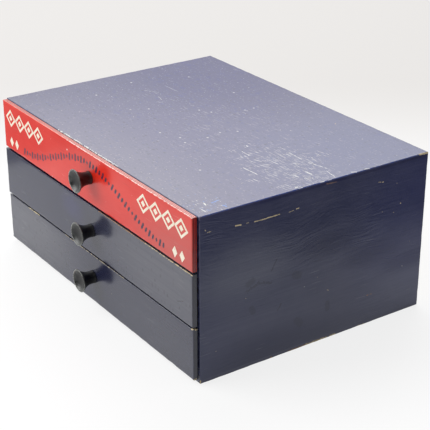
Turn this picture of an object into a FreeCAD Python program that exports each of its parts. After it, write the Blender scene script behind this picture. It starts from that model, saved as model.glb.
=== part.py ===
import FreeCAD, Part
import math
import os
import Sketcher
from FreeCAD import Vector

# A table-top cabinet of three drawers for reels of thread.
#
# The case is four painted boards, rebated into each other at the corners and closed by a
# thin plywood back. Runners pinned to its sides carry the two upper drawers, and the lowest
# one slides on the bottom board. A drawer is a comb-jointed box with a plywood floor let in
# from below. Slats stand in upright housings in its front and back boards and divide it into
# channels in which reels lie. A thin overlay panel closes it, held by a turned wooden knob.
#
# Frame: X runs left to right, the drawers open towards -Y, and Z is up. The origin is the
# centre of the case's underside. Lengths are in millimetres.

os.makedirs("parts", exist_ok=True)
doc = FreeCAD.newDocument("thread_drawer_cabinet")

# ------------------------------------------------------------------------ driving sizes

SIZES = (
    ("case_width", 356.0, "outside width of the case"),
    ("case_depth", 254.0, "outside depth of the case, without the overlay panels"),
    ("case_height", 160.0, "outside height of the case"),
    ("side_thickness", 9.0, "thickness of the two side boards"),
    ("top_thickness", 8.0, "thickness of the top board"),
    ("bottom_thickness", 8.0, "thickness of the bottom board"),
    ("back_thickness", 4.0, "thickness of the plywood back"),
    ("rebate", 4.0, "width and depth left standing at the rebates of the case"),
    ("back_clearance", 0.2, "gap round the back inside its rebate"),
    ("case_arris", 0.8, "rounding of the case's outer edges"),
    ("runner_width", 9.0, "width of a drawer runner"),
    ("runner_setback", 3.0, "front end of a runner behind the front of the case"),
    ("runner_lead", 1.2, "chamfer on the front end of a runner"),
    ("front_thickness", 4.8, "thickness of a drawer's overlay panel"),
    ("front_inset", 2.5, "end of an overlay panel inboard of the case's side"),
    ("front_lift", 4.3, "lower edge of the lowest panel above the table"),
    ("front_drop", 0.5, "upper edge of the highest panel below the top of the case"),
    ("front_gap", 2.3, "gap between one overlay panel and the next"),
    ("front_arris", 0.6, "rounding of an overlay panel's edges"),
    ("stand_bottom", 0.3, "gap behind the bottom panel as the drawer rests"),
    ("stand_middle", 1.0, "gap behind the middle panel as the drawer rests"),
    ("stand_top", 0.8, "gap behind the top panel as the drawer rests"),
    ("box_board", 8.0, "thickness of a drawer's front, back and side boards"),
    ("slide_gap", 0.8, "gap between a drawer and each side of the case"),
    ("seat_gap", 0.2, "running gap between a drawer and what it slides on"),
    ("head_gap", 1.8, "gap between the top drawer and the top board"),
    ("kicker_gap", 3.3, "gap between a drawer and the runners above it"),
    ("rear_gap", 6.0, "gap between a drawer and the back once it is pushed home"),
    ("finger_count", 7, "fingers and notches up the corner of a drawer"),
    ("floor_thickness", 3.0, "thickness of a drawer's plywood floor"),
    ("floor_lap", 4.0, "width of the rebate that holds the floor"),
    ("floor_clearance", 0.15, "gap round the floor inside its rebate"),
    ("slat_count", 6, "dividing slats in a drawer"),
    ("slat_thickness", 3.0, "thickness of a dividing slat"),
    ("slat_drop", 3.0, "top of a slat below the rim of its drawer"),
    ("housing_depth", 2.5, "depth of the upright housings that hold the slats"),
    ("slat_clearance", 0.1, "gap on each side of a slat in its housing"),
    ("knob_length", 16.2, "height of a knob from the panel to its rim"),
    ("knob_radius", 11.5, "radius of a knob's rim"),
    ("knob_rim", 1.5, "thickness of a knob's rim"),
    ("rim_arris", 0.5, "bevels on both edges of the rim"),
    ("knob_land", 1.1, "width of the flat ring round the dish in a knob's face"),
    ("knob_waist", 6.2, "radius of a knob's waist"),
    ("knob_foot", 6.5, "radius of a knob's foot on the panel"),
    ("foot_taper", 2.4, "height over which the foot narrows to the waist"),
    ("knob_end_wall", 4.0, "wood between a knob's screw hole and its dimple"),
    ("dish_depth", 2.0, "depth of the dish in a knob's face"),
    ("dish_floor", 4.6, "radius of the dish's flat floor"),
    ("dimple_radius", 1.8, "radius of the dimple in the middle of that floor"),
    ("dimple_depth", 0.8, "depth of that dimple"),
    ("shift_bottom", 1.5, "bottom knob to the right of its panel's middle"),
    ("shift_middle", 3.5, "middle knob to the right of its panel's middle"),
    ("shift_top", 3.6, "top knob to the right of its panel's middle"),
    ("rise_bottom", 1.9, "bottom knob above its panel's middle"),
    ("rise_middle", -0.3, "middle knob above its panel's middle"),
    ("rise_top", 1.2, "top knob above its panel's middle"),
    ("screw_radius", 1.75, "radius of a knob screw's shank"),
    ("screw_head", 3.5, "radius of a knob screw's countersunk head"),
    ("screw_slot", 0.9, "width and depth of the slot in that head"),
    ("screw_clearance", 0.15, "gap round a knob screw in the boards"),
    ("screw_fit", 0.05, "gap round a knob screw inside its knob"),
    ("pin_radius", 0.8, "radius of a lost-head panel pin"),
    ("pin_sides", 8, "flats round a pin and its hole, few because there are many pins"),
    ("pin_clearance", 0.05, "gap round a panel pin in its hole"),
    ("case_pin_length", 24.0, "pins from the bottom board into the sides"),
    ("back_pin_length", 16.0, "pins from the back into the case"),
    ("runner_pin_length", 14.0, "pins from a runner into the side"),
    ("floor_pin_length", 12.0, "pins from a drawer's floor into its boards"),
    ("pin_margin", 18.0, "first pin of a row from the end of its board"),
)

sheet = doc.addObject("Spreadsheet::Sheet", "sizes")
for row, (alias, number, meaning) in enumerate(SIZES, start=1):
    sheet.set(f"A{row}", alias)
    sheet.set(f"B{row}", str(number))
    sheet.set(f"C{row}", meaning)
    sheet.setAlias(f"B{row}", alias)
doc.recompute()


class Size:
    """A length that carries both its number and the spreadsheet expression behind it."""

    def __init__(self, number, text):
        self.number = float(number)
        self.text = text

    def __add__(self, other):
        other = as_size(other)
        return Size(self.number + other.number, f"({self.text} + {other.text})")

    def __sub__(self, other):
        other = as_size(other)
        return Size(self.number - other.number, f"({self.text} - {other.text})")

    def __mul__(self, other):
        other = as_size(other)
        return Size(self.number * other.number, f"({self.text} * {other.text})")

    def __truediv__(self, other):
        other = as_size(other)
        return Size(self.number / other.number, f"({self.text} / {other.text})")

    def __neg__(self):
        return Size(-self.number, f"(0 - {self.text})")


def as_size(value):
    """A plain number as a Size, and a Size as it is."""
    return value if isinstance(value, Size) else Size(value, repr(float(value)))


def size(alias):
    """The spreadsheet's cell of that alias."""
    return Size(getattr(sheet, alias), f"sizes.{alias}")


ZERO = as_size(0)

case_width = size("case_width")
case_depth = size("case_depth")
case_height = size("case_height")
side_thickness = size("side_thickness")
top_thickness = size("top_thickness")
bottom_thickness = size("bottom_thickness")
back_thickness = size("back_thickness")
rebate = size("rebate")
front_thickness = size("front_thickness")
box_board = size("box_board")
seat_gap = size("seat_gap")
floor_thickness = size("floor_thickness")
floor_lap = size("floor_lap")
slat_thickness = size("slat_thickness")
slat_clearance = size("slat_clearance")
housing_depth = size("housing_depth")
screw_radius = size("screw_radius")
screw_clearance = size("screw_clearance")
pin_margin = size("pin_margin")

case_left = -case_width / 2
case_front = -case_depth / 2
case_back = case_depth / 2
side_foot = rebate
side_height = case_height - rebate * 2
side_middle = (side_foot + case_height - rebate) / 2

# The three panels share the height of the case, and the drawers behind them follow.
front_gaps = size("front_gap") * 2
front_height = (case_height - size("front_lift") - size("front_drop") - front_gaps) / 3
drawer_pitch = front_height + size("front_gap")
bay_height = case_height - top_thickness - bottom_thickness - drawer_pitch * 2
box_height = bay_height - seat_gap - size("head_gap")
box_depth = case_depth - back_thickness - size("rear_gap")
box_width = case_width - side_thickness * 2 - size("slide_gap") * 2
box_left = -box_width / 2
runner_height = drawer_pitch - seat_gap - box_height - size("kicker_gap")

finger_count = int(sheet.finger_count)
finger = box_height / size("finger_count")
slat_count = int(sheet.slat_count)
channels = size("slat_count") + 1
channel_width = (box_width - box_board * 2 - slat_thickness * size("slat_count")) / channels
slat_pitch = channel_width + slat_thickness
housing_width = slat_thickness + slat_clearance * 2

shank_hole = screw_radius + screw_clearance
knob_face = size("knob_length") - size("dish_depth") - size("dimple_depth")
screw_bite = knob_face - size("knob_end_wall")

# A knob's waist opens towards its rim as a power of the distance from the foot.
FLARE_POWER = 2.5
FLARE_POINTS = 7

UP = Vector(0, 0, 1)
FORWARD = Vector(0, -1, 0)
LEFT = Vector(-1, 0, 0)
RIGHT = Vector(1, 0, 0)

# ------------------------------------------------------------------------ sketching


def origin_part(body, role):
    """A body's own origin plane or axis, such as XY_Plane or Z_Axis."""
    return next(part for part in body.Origin.OriginFeatures if part.Role == role)


def place(thing, x, y, z):
    """Ties an object's position to the spreadsheet."""
    for axis, value in zip("xyz", (x, y, z)):
        thing.setExpression(f"Placement.Base.{axis}", as_size(value).text)


def new_body(name, x, y, z, half_turn=False):
    """An empty body whose own origin stands at that point, turned to face -Y if wanted."""
    body = doc.addObject("PartDesign::Body", name)
    body.Label = name
    if half_turn:
        body.Placement.Rotation = FreeCAD.Rotation(UP, 180)
    place(body, x, y, z)
    return body


def new_sketch(body, plane):
    """A sketch on one of the body's origin planes."""
    sketch = body.newObject("Sketcher::SketchObject", "Sketch")
    sketch.AttachmentSupport = [(origin_part(body, plane), "")]
    sketch.MapMode = "FlatFace"
    return sketch


def hold_length(sketch, kind, arguments, value):
    """Adds a dimension to a sketch and ties it to the spreadsheet."""
    index = sketch.addConstraint(Sketcher.Constraint(kind, *arguments, value.number))
    sketch.setExpression(f"Constraints[{index}]", value.text)


def hold_point(sketch, line, vertex, x, y):
    """Fixes one vertex of a line at (x, y) from the sketch's origin."""
    if x is ZERO:
        sketch.addConstraint(Sketcher.Constraint("PointOnObject", line, vertex, -2))
    else:
        hold_length(sketch, "DistanceX", (-1, 1, line, vertex), x)
    if y is ZERO:
        sketch.addConstraint(Sketcher.Constraint("PointOnObject", line, vertex, -1))
    else:
        hold_length(sketch, "DistanceY", (-1, 1, line, vertex), y)


def draw_outline(sketch, *corners):
    """Adds a closed outline of straight lines through corners given as (x, y) sizes."""
    spots = [Vector(x.number, y.number, 0) for x, y in corners]
    lines = [
        sketch.addGeometry(Part.LineSegment(start, end), False)
        for start, end in zip(spots, spots[1:] + spots[:1])
    ]
    for line, after in zip(lines, lines[1:] + lines[:1]):
        sketch.addConstraint(Sketcher.Constraint("Coincident", line, 2, after, 1))
    for line, (x, y) in zip(lines, corners):
        hold_point(sketch, line, 1, x, y)


def draw_rectangle(sketch, x0, x1, y0, y1):
    """Adds a rectangle between two pairs of sizes."""
    draw_outline(sketch, (x0, y0), (x1, y0), (x1, y1), (x0, y1))


def draw_circle(sketch, x, y, radius):
    """Adds a circle whose centre and radius follow the spreadsheet."""
    circle = Part.Circle(Vector(x.number, y.number, 0), UP, radius.number)
    line = sketch.addGeometry(circle, False)
    hold_point(sketch, line, 3, x, y)
    hold_length(sketch, "Radius", (line,), radius)


# ------------------------------------------------------------------------ features


def pad(body, sketch, length, backwards=False):
    """Extrudes a sketch along its normal, or against it."""
    feature = body.newObject("PartDesign::Pad", "Pad")
    feature.Profile = sketch
    feature.Reversed = backwards
    feature.setExpression("Length", length.text)
    doc.recompute()


def cut(body, sketch, height=None):
    """Pockets a sketch along its normal to a height, or right through both ways."""
    before = body.Shape.Volume
    feature = body.newObject("PartDesign::Pocket", "Pocket")
    feature.Profile = sketch
    if height is None:
        feature.Type = "ThroughAll"
        feature.Midplane = True
    else:
        feature.Reversed = True
        feature.setExpression("Length", height.text)
    doc.recompute()
    if body.Shape.Volume >= before:
        raise RuntimeError(f"a pocket cuts nothing from {body.Label}")
    return feature


def repeat(body, feature, axis, count, step):
    """Repeats a cut along one of the body's axes, at a regular step."""
    if count < 2:
        return
    pattern = body.newObject("PartDesign::LinearPattern", "LinearPattern")
    pattern.Originals = [feature]
    pattern.Direction = (origin_part(body, axis), [""])
    pattern.Mode = "Extent"
    pattern.setExpression("Length", (step * (count - 1)).text)
    pattern.Occurrences = count
    body.Tip = pattern
    doc.recompute()


def revolve(body, sketch):
    """Turns a sketch right round its own horizontal axis."""
    feature = body.newObject("PartDesign::Revolution", "Revolution")
    feature.Profile = sketch
    feature.ReferenceAxis = (sketch, ["H_Axis"])
    feature.Angle = 360
    doc.recompute()


def dress(body, kind, amount, wanted):
    """Fillets or chamfers those of a body's edges for which wanted(edge) is true."""
    tip = body.Tip
    names = [f"Edge{i}" for i, edge in enumerate(tip.Shape.Edges, start=1) if wanted(edge)]
    if not names:
        raise RuntimeError(f"no edge of {body.Label} is there to dress")
    feature = body.newObject(f"PartDesign::{kind}", kind)
    feature.Base = (tip, names)
    feature.setExpression("Radius" if kind == "Fillet" else "Size", amount.text)
    body.Tip = feature
    doc.recompute()


def lies_at(edge, **planes):
    """True if the whole edge lies in the planes given, such as z=size, in the body's frame."""
    box = edge.BoundBox
    ends = {"x": (box.XMin, box.XMax), "y": (box.YMin, box.YMax), "z": (box.ZMin, box.ZMax)}
    return all(
        math.isclose(end, plane.number, abs_tol=1e-4)
        for axis, plane in planes.items()
        for end in ends[axis]
    )


def spread(count, first, last):
    """Evenly spaced numbers from first to last."""
    return [first + (last - first) * i / (count - 1) for i in range(count)]


# ------------------------------------------------------------------------ pins and holes


def pin_solid(point, direction, length, gap=0.0):
    """A panel pin driven flush at a point. With a gap, the hole that it sits in."""
    sides = int(sheet.pin_sides)
    flat = 2 * math.pi / sides
    reach = (sheet.pin_radius + gap) / math.cos(flat / 2)
    rim = [
        Vector(reach * math.cos((i + 0.5) * flat), reach * math.sin((i + 0.5) * flat), 0)
        for i in range(sides + 1)
    ]
    end = Part.Face(Part.makePolygon(rim))
    end.Placement = FreeCAD.Placement(point, FreeCAD.Rotation(UP, direction))
    return end.extrude(direction * (length + gap))


def pin_group(name, places, length):
    """One node of separate pins, one for each (point, direction), and the holes they need."""
    group = doc.addObject("Part::Feature", name)
    group.Label = name
    group.Shape = Part.makeCompound([pin_solid(*spot, length) for spot in places])
    holes = [pin_solid(*spot, length, sheet.pin_clearance) for spot in places]
    return group, holes


def drill(board, holes):
    """Cuts the holes that meet a board out of it. The result takes over the board's name."""
    near = [hole for hole in holes if hole.BoundBox.intersect(board.Shape.BoundBox)]
    met = [hole for hole in near if hole.common(board.Shape).Volume > 0]
    if not met:
        return board
    name = board.Label
    tool = doc.addObject("Part::Feature", f"{name}_holes")
    tool.Shape = Part.makeCompound(met)
    drilled = doc.addObject("Part::Cut", f"{name}_drilled")
    drilled.Base = board
    drilled.Tool = tool
    board.Label = f"{name}_blank"
    drilled.Label = name
    doc.recompute()
    return drilled


# ------------------------------------------------------------------------ the case


def end_board(name, thickness, foot, lip_up):
    """The top or bottom board. A thin lip at each end and at the back covers its neighbour."""
    body = new_body(name, case_left, case_front, foot)
    inner = case_width - side_thickness
    outside, inside = (thickness, ZERO) if lip_up else (ZERO, thickness)
    shoulder = thickness - rebate if lip_up else rebate
    section = new_sketch(body, "XZ_Plane")
    draw_outline(
        section,
        (ZERO, outside),
        (case_width, outside),
        (case_width, shoulder),
        (inner, shoulder),
        (inner, inside),
        (side_thickness, inside),
        (side_thickness, shoulder),
        (ZERO, shoulder),
    )
    pad(body, section, case_depth, backwards=True)

    notch = new_sketch(body, "YZ_Plane")
    draw_rectangle(notch, case_depth - back_thickness, case_depth, shoulder, inside)
    cut(body, notch)

    def is_arris(edge):
        corners = [(x, y) for x in (ZERO, case_width) for y in (ZERO, case_depth)]
        upright = any(lies_at(edge, x=x, y=y) for x, y in corners)
        return upright or lies_at(edge, z=outside)

    dress(body, "Fillet", size("case_arris"), is_arris)
    return body


def side_board(name, x, on_left):
    """A side of the case, with a rebate for the back along its inner rear edge."""
    body = new_body(name, x, case_front, side_foot)
    outside, inside = (ZERO, side_thickness) if on_left else (side_thickness, ZERO)
    step = side_thickness - rebate if on_left else rebate
    section = new_sketch(body, "XY_Plane")
    draw_outline(
        section,
        (outside, ZERO),
        (inside, ZERO),
        (inside, case_depth - back_thickness),
        (step, case_depth - back_thickness),
        (step, case_depth),
        (outside, case_depth),
    )
    pad(body, section, side_height)

    def is_arris(edge):
        return any(lies_at(edge, x=outside, y=y) for y in (ZERO, case_depth))

    dress(body, "Fillet", size("case_arris"), is_arris)
    return body


def back_board():
    """The plywood back, let into the rebates of the four boards."""
    gap = size("back_clearance")
    inset = side_thickness - rebate + gap
    board = doc.addObject("Part::Box", "case_back")
    board.setExpression("Length", (case_width - inset * 2).text)
    board.setExpression("Width", back_thickness.text)
    board.setExpression("Height", (side_height - gap * 2).text)
    place(board, case_left + inset, case_back - back_thickness, side_foot + gap)
    return board


def runner(name, level, on_left):
    """A strip on the inside of a side, with a lead chamfered on the end that a drawer meets."""
    width = size("runner_width")
    wall = case_left + side_thickness
    setback = size("runner_setback")
    foot = bottom_thickness + drawer_pitch * level - runner_height
    body = new_body(name, wall if on_left else -wall - width, case_front + setback, foot)
    section = new_sketch(body, "XZ_Plane")
    draw_rectangle(section, ZERO, width, ZERO, runner_height)
    pad(body, section, case_depth - back_thickness - setback, backwards=True)
    lead = size("runner_lead")
    dress(body, "Chamfer", lead, lambda edge: lies_at(edge, y=ZERO, z=runner_height))
    return body


def case_pin_places():
    """Up through the bottom board's lips into the ends of the two sides."""
    line = (case_width - side_thickness).number / 2
    rear = case_back - back_thickness - pin_margin
    rows = spread(4, (case_front + pin_margin).number, rear.number)
    return [(Vector(x, y, 0), UP) for x in (-line, line) for y in rows]


def back_pin_places():
    """Through the back, into the boards round it."""
    rear = case_back.number
    low = (bottom_thickness - rebate / 2).number
    high = (case_height - top_thickness + rebate / 2).number
    side_line = (case_left + side_thickness - rebate / 2).number
    reach = (case_left + pin_margin).number
    columns = spread(5, reach, -reach)
    places = [(Vector(x, rear, z), FORWARD) for x in columns for z in (low, high)]
    middle = side_middle.number
    return places + [(Vector(x, rear, middle), FORWARD) for x in (side_line, -side_line)]


def runner_pin_places():
    """Through the middle of each runner, into the side behind it."""
    face = (case_left + side_thickness + size("runner_width")).number
    first = case_front + size("runner_setback") + pin_margin
    last = case_back - back_thickness - pin_margin
    rows = spread(3, first.number, last.number)
    middles = [
        (bottom_thickness + drawer_pitch * level - runner_height / 2).number for level in (1, 2)
    ]
    return [
        (Vector(x, y, z), direction)
        for x, direction in ((face, LEFT), (-face, RIGHT))
        for y in rows
        for z in middles
    ]


def build_case():
    """The boards, runners and pins of the case, as finished nodes."""
    right = -case_left - side_thickness
    boards = [
        end_board("case_top", top_thickness, case_height - top_thickness, lip_up=True),
        end_board("case_bottom", bottom_thickness, ZERO, lip_up=False),
        side_board("case_left_side", case_left, on_left=True),
        side_board("case_right_side", right, on_left=False),
        back_board(),
        runner("lower_left_runner", 1, on_left=True),
        runner("lower_right_runner", 1, on_left=False),
        runner("upper_left_runner", 2, on_left=True),
        runner("upper_right_runner", 2, on_left=False),
    ]
    doc.recompute()
    groups = [
        pin_group("case_pins", case_pin_places(), sheet.case_pin_length),
        pin_group("back_pins", back_pin_places(), sheet.back_pin_length),
        pin_group("runner_pins", runner_pin_places(), sheet.runner_pin_length),
    ]
    holes = [hole for _, needed in groups for hole in needed]
    return [drill(board, holes) for board in boards] + [group for group, _ in groups]


# ------------------------------------------------------------------------ a drawer


class Drawer:
    """One drawer: its comb-jointed box, floor, slats, overlay panel, knob and fixings."""

    def __init__(self, name, level):
        self.name = name
        self.shift = size(f"shift_{name}")
        self.face = case_front - size(f"stand_{name}")
        self.foot = bottom_thickness + seat_gap + drawer_pitch * level
        self.panel_foot = size("front_lift") + drawer_pitch * level
        self.knob_height = self.panel_foot + front_height / 2 + size(f"rise_{name}")

    def label(self, piece):
        """The node name of one of this drawer's pieces."""
        return f"{self.name}_drawer_{piece}"

    def cross_board(self, piece, at_front):
        """The box's front or back board: notched ends, a floor rebate and slat housings."""
        y = self.face if at_front else self.face + box_depth - box_board
        body = new_body(self.label(piece), box_left, y, self.foot)
        blank = new_sketch(body, "XY_Plane")
        draw_rectangle(blank, ZERO, box_width, ZERO, box_board)
        pad(body, blank, box_height)

        comb = new_sketch(body, "XZ_Plane")
        draw_rectangle(comb, ZERO, box_board, ZERO, finger)
        draw_rectangle(comb, box_width - box_board, box_width, ZERO, finger)
        repeat(body, cut(body, comb), "Z_Axis", (finger_count + 1) // 2, finger * 2)

        lip = box_board - floor_lap
        inner = (lip, box_board) if at_front else (ZERO, floor_lap)
        step = new_sketch(body, "XY_Plane")
        draw_rectangle(step, lip, box_width - lip, *inner)
        cut(body, step, floor_thickness)

        start = box_board + channel_width - slat_clearance
        inner = (box_board - housing_depth, box_board) if at_front else (ZERO, housing_depth)
        housing = new_sketch(body, "XY_Plane")
        draw_rectangle(housing, start, start + housing_width, *inner)
        repeat(body, cut(body, housing), "X_Axis", slat_count, slat_pitch)
        if at_front:
            self.bore_for_screw(body, box_width / 2 + self.shift, self.foot)
            sink = size("screw_head") - screw_radius

            def is_mouth(edge):
                return lies_at(edge, y=box_board) and isinstance(edge.Curve, Part.Circle)

            dress(body, "Chamfer", sink, is_mouth)
        return body

    def bore_for_screw(self, body, x, foot):
        """A hole for the knob screw, right through a board that stands on foot."""
        hole = new_sketch(body, "XZ_Plane")
        draw_circle(hole, x, self.knob_height - foot, shank_hole)
        cut(body, hole)

    def long_board(self, piece, on_left):
        """A long side of the box: notched ends that fill the cross boards' notches."""
        x = box_left if on_left else -box_left - box_board
        body = new_body(self.label(piece), x, self.face, self.foot)
        blank = new_sketch(body, "XY_Plane")
        draw_rectangle(blank, ZERO, box_board, ZERO, box_depth)
        pad(body, blank, box_height)

        comb = new_sketch(body, "YZ_Plane")
        draw_rectangle(comb, ZERO, box_board, finger, finger * 2)
        draw_rectangle(comb, box_depth - box_board, box_depth, finger, finger * 2)
        repeat(body, cut(body, comb), "Z_Axis", finger_count // 2, finger * 2)

        lip = box_board - floor_lap
        inner = (lip, box_board) if on_left else (ZERO, floor_lap)
        step = new_sketch(body, "XY_Plane")
        draw_rectangle(step, *inner, lip, box_depth - lip)
        cut(body, step, floor_thickness)
        return body

    def floor(self):
        """The plywood floor in the rebate under the four boards."""
        inset = box_board - floor_lap + size("floor_clearance")
        board = doc.addObject("Part::Box", self.label("box_floor"))
        board.setExpression("Length", (box_width - inset * 2).text)
        board.setExpression("Width", (box_depth - inset * 2).text)
        board.setExpression("Height", floor_thickness.text)
        place(board, box_left + inset, self.face + inset, self.foot)
        return board

    def slat(self, number):
        """A loose dividing slat that stands on the floor, its ends in their housings."""
        reach = housing_depth - slat_clearance
        board = doc.addObject("Part::Box", self.label(f"slat_{number}"))
        board.setExpression("Length", slat_thickness.text)
        board.setExpression("Width", (box_depth - (box_board - reach) * 2).text)
        board.setExpression("Height", (box_height - floor_thickness - size("slat_drop")).text)
        x = box_left + box_board + channel_width + slat_pitch * (number - 1)
        place(board, x, self.face + box_board - reach, self.foot + floor_thickness)
        return board

    def front_panel(self):
        """The thin overlay panel, its edges eased, with a hole for the knob screw."""
        width = case_width - size("front_inset") * 2
        body = new_body(
            self.label("front_panel"), -width / 2, self.face - front_thickness, self.panel_foot
        )
        face = new_sketch(body, "XZ_Plane")
        draw_rectangle(face, ZERO, width, ZERO, front_height)
        pad(body, face, front_thickness, backwards=True)
        arris = size("front_arris")
        dress(body, "Fillet", arris, lambda edge: lies_at(edge, y=ZERO))
        self.bore_for_screw(body, width / 2 + self.shift, self.panel_foot)
        return body

    def knob(self):
        """The turned knob: a tapered foot, a waist that flares to a thin rim, a dished face."""
        length, radius = size("knob_length"), size("knob_radius")
        arris, waist, taper = size("rim_arris"), size("knob_waist"), size("foot_taper")
        shoulder = radius - arris
        run, climb = length - size("knob_rim") - taper, shoulder - waist
        flare = [
            (taper + run * t, waist + climb * t**FLARE_POWER) for t in spread(FLARE_POINTS, 0, 1)
        ]
        dish_height = length - size("dish_depth")
        bore = screw_radius + size("screw_fit")
        bore_end = screw_bite + size("screw_fit")

        body = new_body(
            self.label("knob"), self.shift, self.face - front_thickness, self.knob_height, True
        )
        profile = new_sketch(body, "YZ_Plane")
        draw_outline(
            profile,
            (ZERO, bore),
            (ZERO, size("knob_foot")),
            *flare,
            (taper + run + arris, radius),
            (length - arris, radius),
            (length, shoulder),
            (length, shoulder - size("knob_land")),
            (dish_height, size("dish_floor")),
            (dish_height, size("dimple_radius")),
            (knob_face, ZERO),
            (bore_end, ZERO),
            (bore_end, bore),
        )
        revolve(body, profile)
        return body

    def knob_screw(self):
        """A slotted countersunk screw, flush inside the box's front board."""
        head = size("screw_head") - screw_clearance
        length = box_board + front_thickness + screw_bite
        body = new_body(
            self.label("knob_screw"), self.shift, self.face + box_board, self.knob_height, True
        )
        profile = new_sketch(body, "YZ_Plane")
        draw_outline(
            profile,
            (ZERO, ZERO),
            (ZERO, head),
            (head - screw_radius, screw_radius),
            (length - screw_radius, screw_radius),
            (length, ZERO),
        )
        revolve(body, profile)
        slot = new_sketch(body, "YZ_Plane")
        width = size("screw_slot")
        draw_rectangle(slot, ZERO, width, -width / 2, width / 2)
        cut(body, slot)
        return body

    def floor_pin_places(self):
        """Up through the floor into the four boards, clear of the slats' housings."""
        inset = box_board - floor_lap / 2
        side_line = (box_left + inset).number
        front, rear = (self.face + inset).number, (self.face + box_depth - inset).number
        rows = spread(3, front + pin_margin.number, rear - pin_margin.number)
        columns = [
            (slat_pitch * (channel - slat_count / 2)).number
            for channel in (0, slat_count // 2, slat_count)
        ]
        spots = [(x, y) for x in (side_line, -side_line) for y in rows]
        spots += [(x, y) for x in columns for y in (front, rear)]
        return [(Vector(x, y, self.foot.number), UP) for x, y in spots]

    def build(self):
        """Every piece of the drawer, as finished nodes."""
        boards = [
            self.cross_board("box_front", at_front=True),
            self.cross_board("box_back", at_front=False),
            self.long_board("box_left_side", on_left=True),
            self.long_board("box_right_side", on_left=False),
            self.floor(),
        ]
        doc.recompute()
        name = self.label("floor_pins")
        pins, holes = pin_group(name, self.floor_pin_places(), sheet.floor_pin_length)
        nodes = [drill(board, holes) for board in boards] + [pins]
        nodes += [self.slat(number) for number in range(1, slat_count + 1)]
        return nodes + [self.front_panel(), self.knob(), self.knob_screw()]


# ------------------------------------------------------------------------ build and write

nodes = build_case()
for level, drawer_name in enumerate(("bottom", "middle", "top")):
    nodes += Drawer(drawer_name, level).build()
doc.recompute()

for thing in doc.Objects:
    if "Invalid" in thing.State or "Error" in thing.State:
        raise RuntimeError(f"{thing.Label} did not build: {thing.State}")
for node in nodes:
    if node.Shape.isNull() or not node.Shape.isValid():
        raise RuntimeError(f"{node.Label} has no sound shape")
for node in nodes:
    node.Shape.exportStep(os.path.join("parts", f"{node.Label}.step"))
    print(f"{node.Label}: {len(node.Shape.Solids)} solid(s), {node.Shape.Volume:.1f} mm3")
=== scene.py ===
import logging
import math
from dataclasses import dataclass, replace
from enum import Enum
from typing import Callable, Optional, Sequence, Union

import bmesh
import bpy
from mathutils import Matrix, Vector


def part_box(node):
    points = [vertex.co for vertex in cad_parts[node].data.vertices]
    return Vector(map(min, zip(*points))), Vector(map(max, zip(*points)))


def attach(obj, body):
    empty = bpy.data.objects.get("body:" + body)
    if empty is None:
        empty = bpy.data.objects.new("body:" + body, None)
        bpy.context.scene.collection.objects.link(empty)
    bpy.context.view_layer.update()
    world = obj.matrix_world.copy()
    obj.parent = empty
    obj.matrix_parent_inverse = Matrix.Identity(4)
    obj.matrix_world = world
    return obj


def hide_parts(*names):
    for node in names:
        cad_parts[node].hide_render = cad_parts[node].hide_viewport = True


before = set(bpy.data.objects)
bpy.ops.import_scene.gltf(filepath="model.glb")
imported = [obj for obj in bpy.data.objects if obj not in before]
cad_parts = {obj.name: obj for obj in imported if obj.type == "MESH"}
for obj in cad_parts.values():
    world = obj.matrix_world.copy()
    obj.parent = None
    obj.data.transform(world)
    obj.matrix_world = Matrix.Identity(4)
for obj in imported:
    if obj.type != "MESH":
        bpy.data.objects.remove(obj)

LOG = logging.getLogger("thread_cabinet")
MM = 0.001  # in metres, which the scene is in
TO_MM = 1000.0
WELD = 1e-6  # in metres: corners nearer than this are merged
SAME = 0.01  # in millimetres: places nearer than this are one
QUARTER = math.radians(90)

Pair = tuple[float, float]
Triple = tuple[float, float, float]
Box = tuple[Triple, Triple]
Node = bpy.types.Node
Tree = bpy.types.NodeTree
Material = bpy.types.Material
Piece = bpy.types.Object
Value = Union[float, Triple, bpy.types.NodeSocket, "Wire"]
Part = Union[bmesh.types.BMVert, bmesh.types.BMEdge]


# ------------------------------------------------------------------------------ choices


class Level(Enum):
    """The three drawers, from the table upwards."""

    BOTTOM = "bottom"
    MIDDLE = "middle"
    TOP = "top"

    @property
    def body(self) -> str:
        """The moving body of this drawer."""
        return f"{self.value}_drawer"

    def node(self, piece: str) -> str:
        """The name of one of this drawer's pieces."""
        return f"{self.body}_{piece}"


class Grain(Enum):
    """How a board's grain lies, as the turn that brings it along X and its face along Z."""

    FLAT_ACROSS = (0.0, 0.0, 0.0)
    FLAT_BACKWARD = (0.0, 0.0, QUARTER)
    UPRIGHT_ACROSS = (-QUARTER, 0.0, 0.0)
    UPRIGHT_BACKWARD = (-QUARTER, QUARTER, 0.0)


class Tone(Enum):
    """What shows where a coat of paint is damaged; BLUE also paints a highlight along the top's
    right arris, and SHADE some darker streaks on the right side.
    """

    WOOD = (0.52, 0.43, 0.26)
    CHALK = (0.78, 0.78, 0.75)
    SKY = (0.20, 0.36, 0.78)
    BLUE = (0.016, 0.065, 0.34)
    RUST = (0.27, 0.15, 0.07)
    SHADE = (0.004, 0.005, 0.014)


# ------------------------------------------------------------------------------ shader kit


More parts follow.
